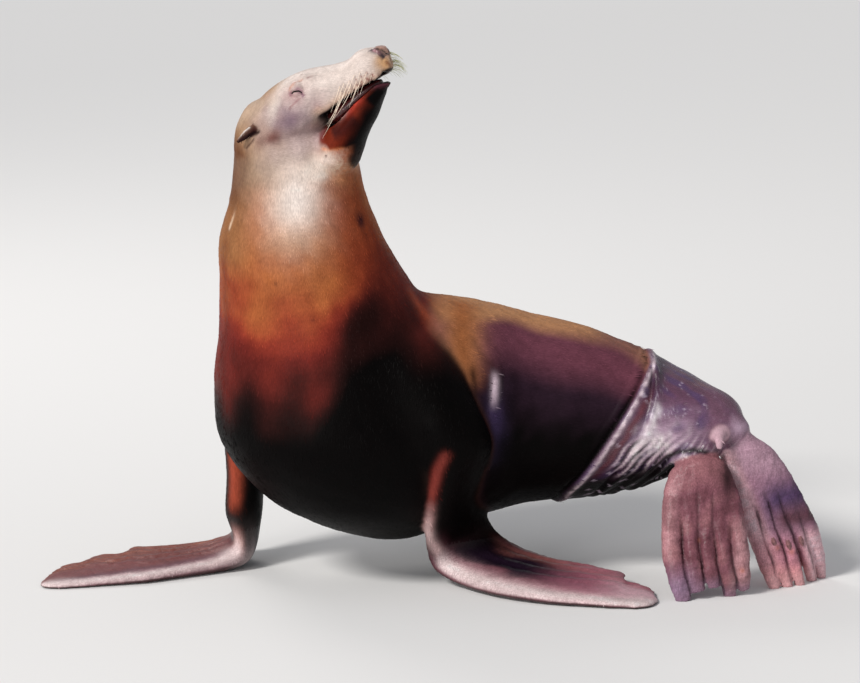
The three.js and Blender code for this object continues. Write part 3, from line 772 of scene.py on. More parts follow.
scalloped = ramp(lip_along, 0.4, 0.55) * ramp(lip_along, 0.95, 0.86)
rise += on_skull * bell(lip_distance, 4.5) * (0.5 + 1.2 * (scallops - 0.4) * scalloped)
LOWER_LIP = [(104, 46, -79), (125, 41, -80), (145, 35, -76), (162, 31, -71), (184, 26, -64), (209, 18, -58),
             (223, 5, -57)]
lower_distance, lower_along = to_line(face, LOWER_LIP)
rise += on_jaw * bell(lower_distance, 4.0) * 1.3
rise -= on_jaw * bell(lower_distance - 9.5, 3) * ramp(face_up, 0.3, -0.1) * 1.2
corner_distance, corner_along = to_line(face, [(104, 50, -60), (93, 55, -64), (84, 59, -73), (80, 60, -86)])
rise -= is_head * bell(corner_distance, 2.6) * 2.6 * ramp(corner_along, 1, 0.55)
carve([(98, 54, -52), (86, 60, -52), (74, 63, -60)], 8, -1.6)  # the fold of the cheek

# Ears: a small rolled ear that opens forwards and down, with the ear hole in front of it.
ear_hole = carve([(19, 62, -22), (12, 65, -21), (2, 69, -22)], 3.2, 4.0)
ear_slit = carve([(10, 66, -20), (-4, 69, -23), (-14, 70, -24)], 1.6, 1.8)
carve([(26, 59, -10), (20, 62, -26), (8, 62, -34)], 4, -1.0)

# Throat: a shallow fold of loose skin where the neck bends.
carve([(82, 0, -152), (80, 30, -138), (72, 48, -118), (58, 58, -98)], 6, 2.0, 0.3)


def fold(at, across, depth, width, low, high, seed):
    """A skin fold where a plane cuts the body: a sharp groove, with a roll on the side across points to."""
    s = (place - np.array(at, float)) @ unit(np.array(across, float)) + 2.0 * ripple(place, 90, seed)
    window = is_trunk * ramp(z, low - 25, low + 15) * ramp(z, high + 25, high - 15)
    uneven = 1 + 0.25 * ripple(place, 60, seed + 1)
    roll = bell(s - 0.9 * width, width) * 0.9
    groove = bell(s + 0.5 * width, 0.55 * width) * 0.8
    return window * depth * (roll - groove) * uneven, s


HEM_ACROSS = (0.841, 0.035, -0.54)
SECOND_FOLD_AT, SECOND_FOLD_ACROSS = (325, 50, 261), (0.905, 0.216, -0.366)
hem, hem_side = fold((274, 50, 236), HEM_ACROSS, 4.6, 7.0, 120, 400, 3)
rise += hem
# (a place on the fold, the way across it, depth, width, lowest and highest z, seed)
FOLDS = (
    ((259, 45, 246), HEM_ACROSS, 1.2, 4.0, 250, 370, 5),
    (SECOND_FOLD_AT, SECOND_FOLD_ACROSS, 4.4, 6.0, 135, 345, 7),
    ((330, 45, 180), (0.8, 0.1, -0.6), 3.2, 4.0, 110, 225, 11),
    ((352, 50, 180), (0.8, 0.1, -0.6), 3.0, 3.6, 110, 232, 13),
    ((374, 50, 182), (0.75, 0.1, -0.65), 2.8, 3.4, 110, 232, 15),
    ((310, 45, 165), (0.8, 0.1, -0.6), 2.4, 4.0, 100, 210, 17),
    ((-60, 150, 470), (0.35, 0.0, 0.94), 2.0, 9.0, 420, 470, 19),
)
for row in FOLDS:
    rise += fold(*row)[0]

# The hips end in a lip over the left hind flipper.
FOOT_ARCH = [(338, 42, 178), (355, 34, 193), (370, 20, 212), (393, 5, 226), (416, 1, 230), (433, 0, 227),
             (447, 5, 221)]
foot_arch = to_line(place, FOOT_ARCH)[0]
rise -= bell(foot_arch, 4.5) * 3.0

# The web of skin behind the left upper arm, and the crease that it leaves in the flank.
AXILLA = [(100, 34, 360), (98, 16, 340), (93, 2, 300), (86, -6, 255), (82, -4, 212)]
axilla_distance, axilla_along = to_line(place, AXILLA)
flank_side = np.sign(x - np.interp(z, [212, 255, 300, 340, 360], [82, 86, 93, 98, 100]))
near_axilla = y < 70
rise -= near_axilla * bell(axilla_distance, 5.0) * 7.0 * ramp(axilla_along, 0, 0.15)
rise += near_axilla * bell(axilla_distance - 8.5, 4.0) * 2.2 * (flank_side > 0)
SHOULDER_DENT = [(70, 40, 400), (84, 26, 365), (88, 12, 330), (84, 0, 290)]
rise -= near_axilla * bell(to_line(place, SHOULDER_DENT)[0], 9) * 2.5

# Fore flippers: thick leading edge, fanned rays, and a trailing edge frayed into scallops.
chord = (1 - np.cos(turn)) / 2
# (hand, where its wrist lies along the limb, where its rays end)
RAYS = (
    (RIGHT_HAND, 0.3, (0.56, 0.71, 0.86, 0.97)),
    (LEFT_HAND, 0.42, (0.7, 0.77, 0.9, 0.97)),
)
for hand, wrist, ends in RAYS:
    blade = (kind == hand) * ramp(along, wrist, wrist + 0.12)
    top = (np.sin(turn) > 0) * (z < 90)
    rise += blade * bell(chord - 0.06, 0.09) * 1.2
    for k, end in enumerate(ends):
        run = np.clip((along - wrist) / (end - wrist), 0, 1)
        ray = 0.84 - 0.17 * k + (0.16 + 0.17 * k) * run**2.2
        strength = blade * (along < end + 0.02)
        rise += strength * bell(chord - ray, 0.045) * (1.5 * top + 0.5)
        rise -= strength * bell(chord - ray - 0.085, 0.035) * 1.1 * top
    streaks = np.sin(chord * 75 + 5 * ripple(place, 160, 21)) * ramp(chord, 0.2, 0.5)
    rise += blade * top * streaks * 0.28
    rise += (kind == hand) * 0.35 * ripple(place, 26, 23) * ramp(along, 0.2, 0.4)

# Hind flippers: wrinkled soles and knuckled toes.
feet = np.isin(kind, (LEFT_FOOT, RIGHT_FOOT, LEFT_TOE, RIGHT_TOE))
rise += feet * (0.5 * ripple(place, 16, 31) + 0.35 * ripple(place * [1, 1, 2.2], 9, 33))
toes = np.isin(kind, (LEFT_TOE, RIGHT_TOE))
rise += toes * 0.9 * (bell(along - 0.42, 0.09) + bell(along - 0.72, 0.07))
CREASE_TOPS = (150, 188, 172, 120)  # the height that each crease between two toes reaches


def between_toes(paths, *kinds):
    """1 along the lines midway between neighbouring toes, which run on up the flipper's front."""
    near = np.zeros(len(place))
    uneven = ripple(place, 70, 37)
    for k, ((first, _), (second, _)) in enumerate(zip(paths[:-1], paths[1:])):
        middle = (np.array(first, float) + np.array(second, float))[::-1] / 2
        at = np.interp(z, middle[:, 2], middle[:, 0]) + 1.5 * uneven
        top = CREASE_TOPS[k] + 14 * uneven
        reach = ramp(z, top, top - 45)
        near = np.maximum(near, bell(x - at, 1.2 + 0.7 * reach) * reach * (0.75 + 0.25 * uneven))
    return near * np.isin(kind, kinds) * (normal[:, 1] < 0.3)


toe_gaps = between_toes(LEFT_TOES, LEFT_FOOT, LEFT_TOE) + between_toes(RIGHT_TOES, RIGHT_FOOT, RIGHT_TOE)
rise -= toe_gaps * 2.2
knuckle_creases = toes * np.maximum(np.cos(along * 62 + 1.5 * ripple(place, 30, 35)), 0) ** 3
rise -= knuckle_creases * 0.45

# The wet coat is never quite even.
rise += is_trunk * (0.7 * ripple(place, 95, 41) + 0.35 * ripple(place, 40, 43))
rise += is_neck * (0.9 * ripple(place, 120, 45) + 0.35 * ripple(place, 45, 47))

place = place + normal * rise[:, None] + (shift * mirror) @ HEAD_AXES
place += (averaged(place, links) - place) * 0.15
socket = near_eye * bell(eye_distance - 22, 5) * (1 - bell(slit_distance, 4.5))
for _ in range(14):
    place += (averaged(place, links) - place) * 0.7 * socket[:, None]
place[:, 2] = np.maximum(place[:, 2], 0)


def held_in_box(p, give=3.0, margin=0.5):
    """Places that come near the sides of the frame's box, eased back inside it."""
    low, high = (to_body(corner) for corner in CAD_BOX)
    middle, half = (low + high) / 2, (high - low) / 2 - margin
    off = p - middle
    near = np.abs(off) - (half - give)
    eased = np.where(near > 0, half - give + give * np.tanh(np.maximum(near, 0) / give), np.abs(off))
    eased[:, 2] = np.where(off[:, 2] < 0, np.abs(off[:, 2]), eased[:, 2])
    return middle + np.sign(off) * eased


place = held_in_box(place)
set_coords(skin_mesh, place)

# ---- Markings, with painted highlights and painted shade among them: one colour for each spot of the skin, which the tufts on it repeat ----


def srgb(red, green, blue):
    """A colour's linear values, from those of a screen (up to 255)."""
    share = np.array([red, green, blue]) / 255
    return np.where(share <= 0.04045, share / 12.92, ((share + 0.055) / 1.055) ** 2.4)


GOLDEN = (168, 98, 54)
HONEY = (146, 102, 66)
RUSSET = (148, 58, 40)
OXBLOOD = (112, 38, 32)
SOOT = (6, 4, 4)
TAN = (190, 138, 98)
MAROON = (108, 61, 75)
PLUM = (44, 28, 40)
AMBER = (156, 92, 52)
STEEL = (112, 78, 104)
DUSK = (58, 38, 56)
CREAM_AND_HIGHLIGHT = (226, 211, 203)
IVORY_HIGHLIGHT = (224, 204, 190)
BISQUE = (186, 160, 146)
MAUVE = (140, 116, 124)
UMBER = (120, 82, 76)
ROSE = (182, 140, 140)
APRICOT = (202, 122, 80)
BRICK = (112, 38, 20)
PITCH = (8, 5, 6)
LIP_RED = (182, 62, 48)
GUM_AND_SHADE = (20, 7, 8)
NOSE_DARK = (52, 36, 50)
COPPER = (138, 52, 46)
BLADE_PINK = (214, 174, 180)
BLADE_BROWN = (132, 78, 66)
BLADE_MAUVE = (114, 66, 78)
RIM_PALE_AND_HIGHLIGHT = (244, 224, 224)
SOLE_BROWN = (140, 88, 100)
BACK_PINK = (178, 134, 156)
INDIGO = (72, 54, 98)

tone = np.tile(srgb(*GOLDEN), (len(place), 1))


def paint(colour, mask):
    """Mixes a colour of the screen into the skin's tone, as far as the mask says (0 to 1)."""
    tone[:] = tone + (srgb(*colour) - tone) * np.clip(mask, 0, 1)[:, None]


def around_spot(at, size, uneven=0.25, seed=0):
    """A soft, uneven oval patch of the body."""
    d = np.linalg.norm((place - at) / size, axis=1)
    return bell(d * (1 + uneven * ripple(place, 30, seed)), 1.0)


def spot(at, size, uneven=0.25, seed=0):
    """The same on the head, in its own frame and on both halves."""
    d = np.linalg.norm((face - at) / size, axis=1)
    return is_head * bell(d * (1 + uneven * ripple(face, 30, seed)), 1.0)


def eye_mark(line, width):
    """A mark that follows a line on the lids, given by its places along and up the head."""
    d, t = to_line(flat_face, [(forward, 0, up) for forward, up in line])
    return near_eye * bell(d, width) * fade(t, 0.25)


def line_mark(line, width):
    """A soft line on the body, with round ends."""
    return bell(to_line(place, line)[0], width)


def streak(line, width, ends=0.25):
    """A line on the head, on both halves, that fades towards its ends."""
    d, t = to_line(face, line)
    return is_head * bell(d, width) * fade(t, ends)


x, y, z = place.T  # as sculpted
nx, ny, nz = normal.T
patchy = ripple(place, 70, 61)
mottle = ripple(place, 24, 63)

# Neck and breast: golden above, russet and oxblood lower down, and black where the coat is wet through; the
# darkening downwards is partly wet dark fur and partly painted shade.
far_and_nape = np.maximum(ramp(y, 60, 170), ramp(nx, -0.45, -0.8) * ramp(z, 480, 560))
paint(HONEY, is_neck * far_and_nape * 0.8)
# Painted shade: dark brown along the back of the neck on the near side, where it faces -X.
paint((92, 52, 32), is_neck * ramp(nx, -0.8, -0.97) * ramp(y, 60, 20) * ramp(z, 620, 560) * 0.8)
# Russet and oxblood lower down: partly wet fur, partly painted shade.
lowness = 0.35 * np.abs(x + 240) + 0.4 * np.maximum(x + 190, 0) - z - 26 * patchy - 10 * mottle
paint(RUSSET, ramp(lowness, -535, -395) * ramp(y, 190, 90))
# Painted shade: darker russet and oxblood on the front of the neck, which faces away from the key light.
paint((150, 66, 36), is_neck * ramp(nx, 0.12, 0.62) * 0.8)
paint(OXBLOOD, is_neck * ramp(nx, 0.22, 0.68) * ramp(z, 640, 520) * 0.45)
paint(OXBLOOD, ramp(lowness, -455, -345) * ramp(y, 180, 80))
# Painted shade: darker brown along the back of the neck, lower down.
paint((56, 26, 20), is_neck * ramp(nx, -0.84, -0.99) * ramp(z, 600, 500) * ramp(y, 60, 20) * 0.75)
golden_rim = ramp(nx, 0.82, 0.97) * ramp(z, 450, 520) * ramp(z, 690, 640)
paint((190, 118, 66), is_neck * golden_rim * 0.6)
# Below this line the breast turns black: partly wet dark fur, partly painted shade.
SOAKED_AND_SHADED_LINE = (
    (-345, 292), (-290, 330), (-232, 316), (-190, 308), (-163, 352), (-130, 428), (-92, 462), (-60, 458),
    (-40, 428), (-20, 404), (14, 388),
)
soaked_and_shaded = np.interp(x, *zip(*SOAKED_AND_SHADED_LINE)) - 60 * ramp(y, 40, 150) - z - 22 * patchy
paint((52, 22, 20), ramp(soaked_and_shaded, -85, 20) * ramp(x, 70, 20))
paint(SOOT, ramp(soaked_and_shaded, -35, 65) * ramp(x, 75, 25))
paint((200, 92, 58), line_mark([(-44, 62, 464), (-14, 50, 428), (4, 42, 402)], 16) * 0.9)

# Back and flank: tan along the top, then maroon, plum and black underneath. The flank darkens as it turns
# downwards, partly wet fur and partly painted shade, and the maroon band is partly a painted reflection of
# the sky.
back = is_trunk * ramp(x, -30, 40)
slope = nz + 0.012 * patchy
paint(TAN, back)
wedge = bell((x - 46) / 28, 1.0) * ramp(z, 318, 350) * ramp(y, 160, 110)
flank = back * (1 - 0.9 * wedge)
paint(MAROON, back * ramp(x, 240, 300) * 0.5)
# Maroon band below the top: partly the coat's colour, partly a painted reflection of the sky.
paint(MAROON, flank * ramp(slope + 0.06 * ramp(x, 190, 60), 0.975, 0.87))
# Plum and black as the flank turns downwards: partly wet fur, partly painted shade.
paint(PLUM, flank * ramp(slope, 0.82, 0.4))
paint(SOOT, flank * ramp(slope + ramp(x, 100, 180) * 0.12 + 0.05 * mottle, 0.7, -0.1))
paint(AMBER, back * wedge * 0.85)
# Painted shade: a dark line in the crease behind the left upper arm.
shade_behind_arm = bell(x - 66 - 0.12 * (330 - z), 6) * ramp(z, 270, 300) * ramp(z, 375, 350)
paint((16, 8, 8), back * shade_behind_arm * 0.8)
paint(SOOT, ramp(y, 60, 110) * ramp(x, -60, -30) * ramp(x, 80, 40) * ramp(z + 20 * patchy, 350, 290))
web_distance, web_along = to_line(place, [(96, 18, 362), (98, 8, 338), (96, -2, 312), (94, -8, 290)])
web = is_trunk * bell(web_distance, 6.5)
paint((68, 54, 88), is_trunk * around_spot((98, -10, 280), (15, 40, 46), 0.1, seed=96) * 0.75)
# Painted highlight along the web of skin behind the arm.
paint((236, 212, 226), web * fade(web_along, 0.45) * 0.95)

# Wet hips: steel and mauve, with the brown of the back along the top, painted highlights on the folds, and
# painted shade in the grooves and where the hips face the floor.
hips = is_trunk * ramp(hem_side, -1.5, 4) * ramp(x, 180, 230)
paint(STEEL, hips)
paint(DUSK, hips * ramp(z, 235, 140) * 0.8)
# Painted highlight: a broad pale sheen over the middle of the hips.
paint((206, 174, 198), hips * around_spot((366, 15, 236), (54, 80, 42), seed=64) * 0.75)
paint((98, 60, 84), hips * ramp(nz, 0.45, 0.85) * 0.85)
paint((150, 98, 86), hips * ramp(nz, 0.93, 0.99) * 0.8)
paint(INDIGO, hips * np.clip(mottle + 0.2, 0, 1) * 0.65)
low_on_hips = ramp(z + 10 * mottle, 262, 205)
pleats = 0.5 + 0.5 * np.sin((place @ unit(np.array([0.8, 0.1, -0.6]))) / 1.9 + 1.5 * ripple(place, 50, 97))
fine = 0.5 + 0.5 * ripple(place, 12, 95)
second_side = (place - SECOND_FOLD_AT) @ unit(np.array(SECOND_FOLD_ACROSS))
second_roll_highlight = bell(second_side - 8 - 3 * mottle, 7) * ramp(z, 190, 225) * ramp(z, 312, 285)
pleat_crest_highlights = low_on_hips * ramp(x, 275, 305) * ramp(pleats, 0.72, 0.95) * ramp(z, 165, 190)
paint((44, 26, 44), hips * bell(hem_side - 21, 9) * 0.7)
# Painted highlights: white along the second fold's roll, a white spot on the hip, and white on the crests of
# the pleats.
paint((252, 242, 246), hips * second_roll_highlight * (0.4 + 0.6 * fine))
paint((252, 240, 244), hips * around_spot((358, 8, 238), (21, 40, 21), 0.4, seed=94) * (0.4 + fine))
paint((238, 218, 224), hips * pleat_crest_highlights * 0.8)
paint(SOOT, hips * ramp(z + 0.3 * (330 - x), 200, 172) * 0.85)
# Painted shade in the grooves between the pleats.
paint(SOOT, hips * low_on_hips * ramp(x, 262, 300) * ramp(1 - pleats, 0.5, 0.9) * 0.9)
# Painted shade where the hips face the floor.
paint(SOOT, hips * ramp(nz, -0.5, -0.78) * 0.95)
under_hem = bell(hem_side - 19 - 2 * mottle, 5.5) * ramp(z, 165, 195) * ramp(z, 330, 300)
paint((96, 46, 58), hips * under_hem * 0.95)
# Painted highlight along the edge of the hem.
paint((238, 218, 226), hips * bell(hem_side - 7, 3.0) * (0.35 + 0.6 * fine))
paint((212, 196, 214), hips * softened(RNG.random(len(place)) > 0.985, 1) * ramp(mottle, -0.6, 0.6) * 2)
# Painted shade in the groove in front of the hem.
paint(SOOT, is_trunk * bell(hem_side + 5, 3.5) * ramp(x, 200, 260) * ramp(z, 350, 310) * 0.9)
flap = part(TAIL_KIND, blur=4)
paint((206, 170, 182), flap)
paint((124, 84, 104), is_trunk * ramp(x, 420, 450) * 0.7)
# Painted highlight where the rump meets the ankles.
paint((200, 170, 192), is_trunk * around_spot((490, 24, 262), (14, 30, 11), seed=99) * 0.9)
# Painted shade in the crease over the left hind flipper.
paint((22, 12, 16), bell(foot_arch, 4.0) * 0.95)

# Head.
paint(BISQUE, is_head * ramp(a, -34, 16) * ramp(c, -120, -80))
# Cream on the top of the head and the muzzle: partly the pale coat, partly a painted highlight.
paint(CREAM_AND_HIGHLIGHT, is_head * ramp(a, 18, 62) * ramp(c, -58, -24))
paint((170, 142, 114), is_head * ramp(a, 32, -20) * 0.8)
paint(HONEY, is_head * ramp(a, -10, -50) * 0.85)
paint((160, 138, 132), spot((10, 62, -68), (26, 40, 24), seed=93) * 0.8)
paint((188, 162, 140), is_head * ramp(a, 84, 40) * ramp(c, -4, 14) * 0.8)
crown = ramp(c - 0.55 * np.maximum(40 - a, 0), 12, 30) * ramp(a, 100, 50)
paint((170, 134, 102), is_head * crown * 0.8)
# (colour, middle, size, seed, strength)
CHEEK_SPOTS = (
    (MAUVE, (70, 62, -30), (34, 60, 26), 65, 1),
    ((120, 98, 110), (72, 62, -32), (17, 40, 11), 78, 0.8),
    ((178, 156, 158), (62, 60, -74), (36, 60, 26), 66, 0.9),
    (UMBER, (32, 66, -41), (21, 40, 14), 67, 1),
    ((196, 166, 164), (118, 50, -30), (18, 40, 12), 68, 0.7),
)
for colour, at, size, seed, strength in CHEEK_SPOTS:
    paint(colour, spot(at, size, seed=seed) * strength)
paint(ROSE, spot(EYE_PLACE + [-2, 16, -2], (22, 26, 15), 0.35, seed=69) * 0.7)
# (colour, line, width, strength)
LID_LINES = (
    ((150, 96, 110), [(86, 2), (91, 3), (97, 3)], 3.0, 0.7),
    ((138, 92, 112), [(97, 4), (103, 2), (107, -3), (108, -9), (102, -12)], 3.2, 0.8),
    ((150, 96, 100), [(106, -10), (97, -11), (85, -14), (76, -18)], 1.8, 0.55),
    ((206, 138, 104), [(90, 8), (97, 10), (103, 11)], 2.4, 0.55),
    ((190, 120, 96), [(94, 13), (106, 13), (118, 12)], 1.4, 0.5),
)
for colour, line, width, strength in LID_LINES:
    paint(colour, eye_mark(line, width) * strength)
# Painted shade in the crease in front of the brow.
paint((132, 62, 66), streak([(119, 37, 11), (126, 34, 12), (134, 31, 12)], 1.8) * 0.8)
paint((206, 146, 112), streak([(100, 54, -48), (110, 51, -40), (124, 46, -34)], 4.5) * 0.4)
paint((214, 172, 140), on_skull * bell(lip_distance, 8) * ramp(a, 100, 112) * 0.6)

# Lower jaw: brick red at the cheek over an orange hem, and pitch black at the chin.
JAW_HEM = [(84, 48, -92), (97, 46, -103), (111, 44, -110), (121, 38, -113)]
hem_height = np.interp(a, [84, 97, 111, 121, 140], [-92, -103, -110, -113, -116])
jaw_side = is_jaw * ramp(a + 5 * ripple(face, 25, 71), 86, 96) * ramp(c - hem_height, -3, 3)
paint(BRICK, jaw_side)
paint((52, 17, 17), jaw_side * streak([(112, 45, -87), (133, 40, -92), (160, 30, -83)], 10, 0.15) * 0.8)
paint((150, 110, 116), is_head * spot((93, 53, -72), (9, 30, 10), seed=79) * 0.9)
chin = ramp(a - 1.8 * (c + 90) + 4 * ripple(face, 20, 80), 130, 172)
chin = np.maximum(chin, ramp(a, 172, 192) * ramp(lower_distance, 4, 8))
paint(PITCH, is_jaw * ramp(a, 92, 104) * chin)
paint(APRICOT, streak(JAW_HEM, 3.0))
red_run = ramp(lower_along, 0.25, 0.42) * ramp(lower_along, 0.7, 0.56)
paint(LIP_RED, is_jaw * bell(lower_distance, 6.5) * red_run)
# Painted highlight on the wet lower lip.
paint((240, 214, 208), is_jaw * bell(lower_distance, 3.0) * bell(lower_along - 0.3, 0.08))
paint((124, 70, 84), is_jaw * bell(lower_distance, 4.5) * ramp(lower_along, 0.76, 0.9))

# Throat: a pale speckled patch under the jaw with a dark fleck, warm brown beside it, a painted highlight on
# the jowl and painted shade under the jaw.
speckle = np.clip(0.5 + 0.9 * ripple(face, 6, 73), 0, 1)
not_jaw = 1 - jaw_side
THROAT_SPOTS = (
    ((166, 84, 48), (112, 38, -130), (20, 40, 20), 81, 0.85),
    ((196, 126, 76), (98, 36, -142), (20, 40, 16), 74, 0.7),
    ((176, 92, 56), (104, 45, -118), (15, 40, 8), 70, 0.8),
    ((110, 48, 28), (122, 32, -148), (13, 40, 17), 68, 0.8),
)
for colour, at, size, seed, strength in THROAT_SPOTS:
    paint(colour, spot(at, size, seed=seed) * not_jaw * strength)
# Painted highlight: near white on the jowl and the top of the throat.
jowl = bell(np.linalg.norm((face - (66, 52, -120)) / (28, 40, 18), axis=1), 1)
paint((250, 236, 224), (is_head + is_neck) * jowl * not_jaw * 0.8)
paint((232, 208, 184), spot((88, 38, -128), (20, 40, 15), seed=82) * not_jaw * (0.3 + 0.6 * speckle))
paint((236, 216, 204), spot((82, 48, -113), (16, 30, 11), seed=74) * not_jaw)
paint((84, 38, 34), streak([(89, 47, -106), (87, 48, -109), (82, 50, -112)], 2.0, 0.1) * 0.8)
# Painted shade: black where the throat under the jaw faces away from the key light.
paint(PITCH, is_head * ramp(nx, 0.45, 0.75) * ramp(a, 84, 112) * ramp(c, -96, -110) * 0.95)

# Nose, lips and the inside of the mouth.
paint((232, 176, 116), spot((239, 12, -30), (12, 18, 18), seed=83) * 0.9)
paint((150, 84, 52), streak([(241, 14, -26), (243, 9, -34), (244, 4, -42)], 3.0) * 0.7)
paint((214, 168, 150), is_head * ramp(pad, 0.3, 0.8) * ramp(c, -28, -16))
paint(NOSE_DARK, streak([(228, 10, 0), (234, 14, -4), (240, 16, -11), (243, 12, -24)], 6.0, 0.1))
# Painted highlight on the nose pad.
paint((196, 146, 152), streak([(231, 13, 0), (238, 16.5, -7), (241, 14, -16)], 2.4, 0.2) * 0.8)
# Painted shade in the nostril slits.
paint(PITCH, is_head * bell(nostril, 2.2))
paint((90, 44, 40), is_head * bell(philtrum, 1.5) * 0.8)
inner_lip = on_skull * ramp(face_up, -0.35, -0.7) * ramp(a, 98, 110)
inside = inner_lip * ramp(lip_half * 0.86 - b, 0, 5)
gaps = on_skull * bell(lip_distance, 4.5) * scalloped * ramp(1 - scallops, 0.45, 0.85)
paint((104, 26, 30), gaps * 0.9)
# The mouth's lining, near black: partly its own dark colour, partly painted shade inside the mouth.
paint(GUM_AND_SHADE, np.maximum(palate, inside))
paint(GUM_AND_SHADE, floor_of_mouth)
inner_jaw = ramp(face_up, 0.0, 0.4) * ramp(jaw_half * 0.84 - b, 0, 4) * (a > 104)
paint(GUM_AND_SHADE, on_jaw * inner_jaw)
# Painted shade in the corner of the mouth.
paint(PITCH, is_head * spot((108, 38, -60), (5, 11, 5), seed=85))
paint((150, 62, 56), whisker_dents * ramp(a, 176, 196) * ramp(c, -22, -28) * 0.8)
# Painted shade in the ear hole.
paint(PITCH, is_head * bell(ear_hole, 3.0) * 0.9)
paint((60, 34, 30), streak([(6, 66, -26), (-6, 64, -30), (-20, 59, -34)], 2.0, 0.1) * 0.85)
ear = part(EAR_KIND, blur=3)
paint((112, 80, 66), ear)
# Painted shade on the underside of the ear.
paint((44, 24, 24), ear * ramp(nz, 0.5, -0.1))
# Painted highlight along the top of the rolled ear.
ear_highlight = bell(to_line(face, [(6, 66, -8), (-4, 70, -9), (-16, 73, -13)])[0], 2.6)
paint((240, 230, 224), ear * ear_highlight * ramp(nz, 0.2, 0.7))
# Painted shade in the groove under the ear.
paint((40, 26, 32), is_head * bell(ear_slit, 2.2) * 0.9)
paint((64, 34, 32), spot((13, 64, -14), (8, 16, 6), seed=86) * 0.85)

# Painted highlight on the side of the neck, below the jowl, with warmer patches and old scars around it.
# Painted highlight: ivory, with a whiter middle.
paint(IVORY_HIGHLIGHT, is_neck * around_spot((-220, -10, 640), (50, 66, 70), 0.04, seed=87) * 0.95)
paint((252, 242, 236), is_neck * around_spot((-214, -10, 640), (30, 66, 46), 0.04, seed=76) * 0.7)
# Painted shade: darker brown along the nape, where it faces -X.
nape = ramp(nx, -0.55, -0.92) * ramp(z, 590, 640) * ramp(z, 740, 690)
paint((104, 60, 32), (is_neck + is_head) * nape * 0.9)
paint((218, 150, 100), is_neck * around_spot((-142, -20, 672), (20, 66, 26), seed=97) * 0.75)
# The painted highlight fading out lower down.
paint((200, 164, 130), is_neck * around_spot((-220, -20, 572), (50, 66, 24), 0.05, seed=88) * 0.3)
# Painted highlight along a fold on the nape.
paint((214, 186, 160), is_neck * line_mark([(-316, 36, 634), (-317, 36, 604), (-322, 38, 582)], 3))
paint((158, 134, 114), is_neck * around_spot((-282, 20, 680), (46, 66, 46), 0.1, seed=98) * 0.6)
# Black at the foot of the breast: partly wet dark fur, partly painted shade.
paint(SOOT, is_neck * ramp(z, 290, 230) * 0.97)
SCARS = (
    ((-114, 28, 598), (7, 12, 14), 0.95),
    ((-247, -34, 506), (4, 8, 4), 0.4),
    ((-189, -56, 453), (5, 8, 4), 0.4),
)
for at, size, depth in SCARS:
    paint((52, 20, 28), around_spot(at, size, seed=89) * depth)

# Fore limbs: copper arms, black at the back, and mauve blades with a pale leading edge that is partly a
# painted highlight; painted highlights at the wrists, and painted shade under the blades.
top = ramp(nz, 0.0, 0.5)
frayed = chord + 0.08 * ripple(place * [0.3, 1, 1], 40, 75)
rays = ramp(np.sin(chord * 60 + 4 * ripple(place, 160, 21)), 0.2, 0.9)
VIEW_UP = np.array([0.0, 0.208, 0.978])  # what is up in the photo, whose camera looks 12 degrees down
seen = np.stack([x, place @ VIEW_UP, 0 * x], axis=1)
LIT_EDGE = [(20, 219, 0), (7, 193, 0), (-1, 160, 0), (-7, 126, 0), (-10, 99, 0)]
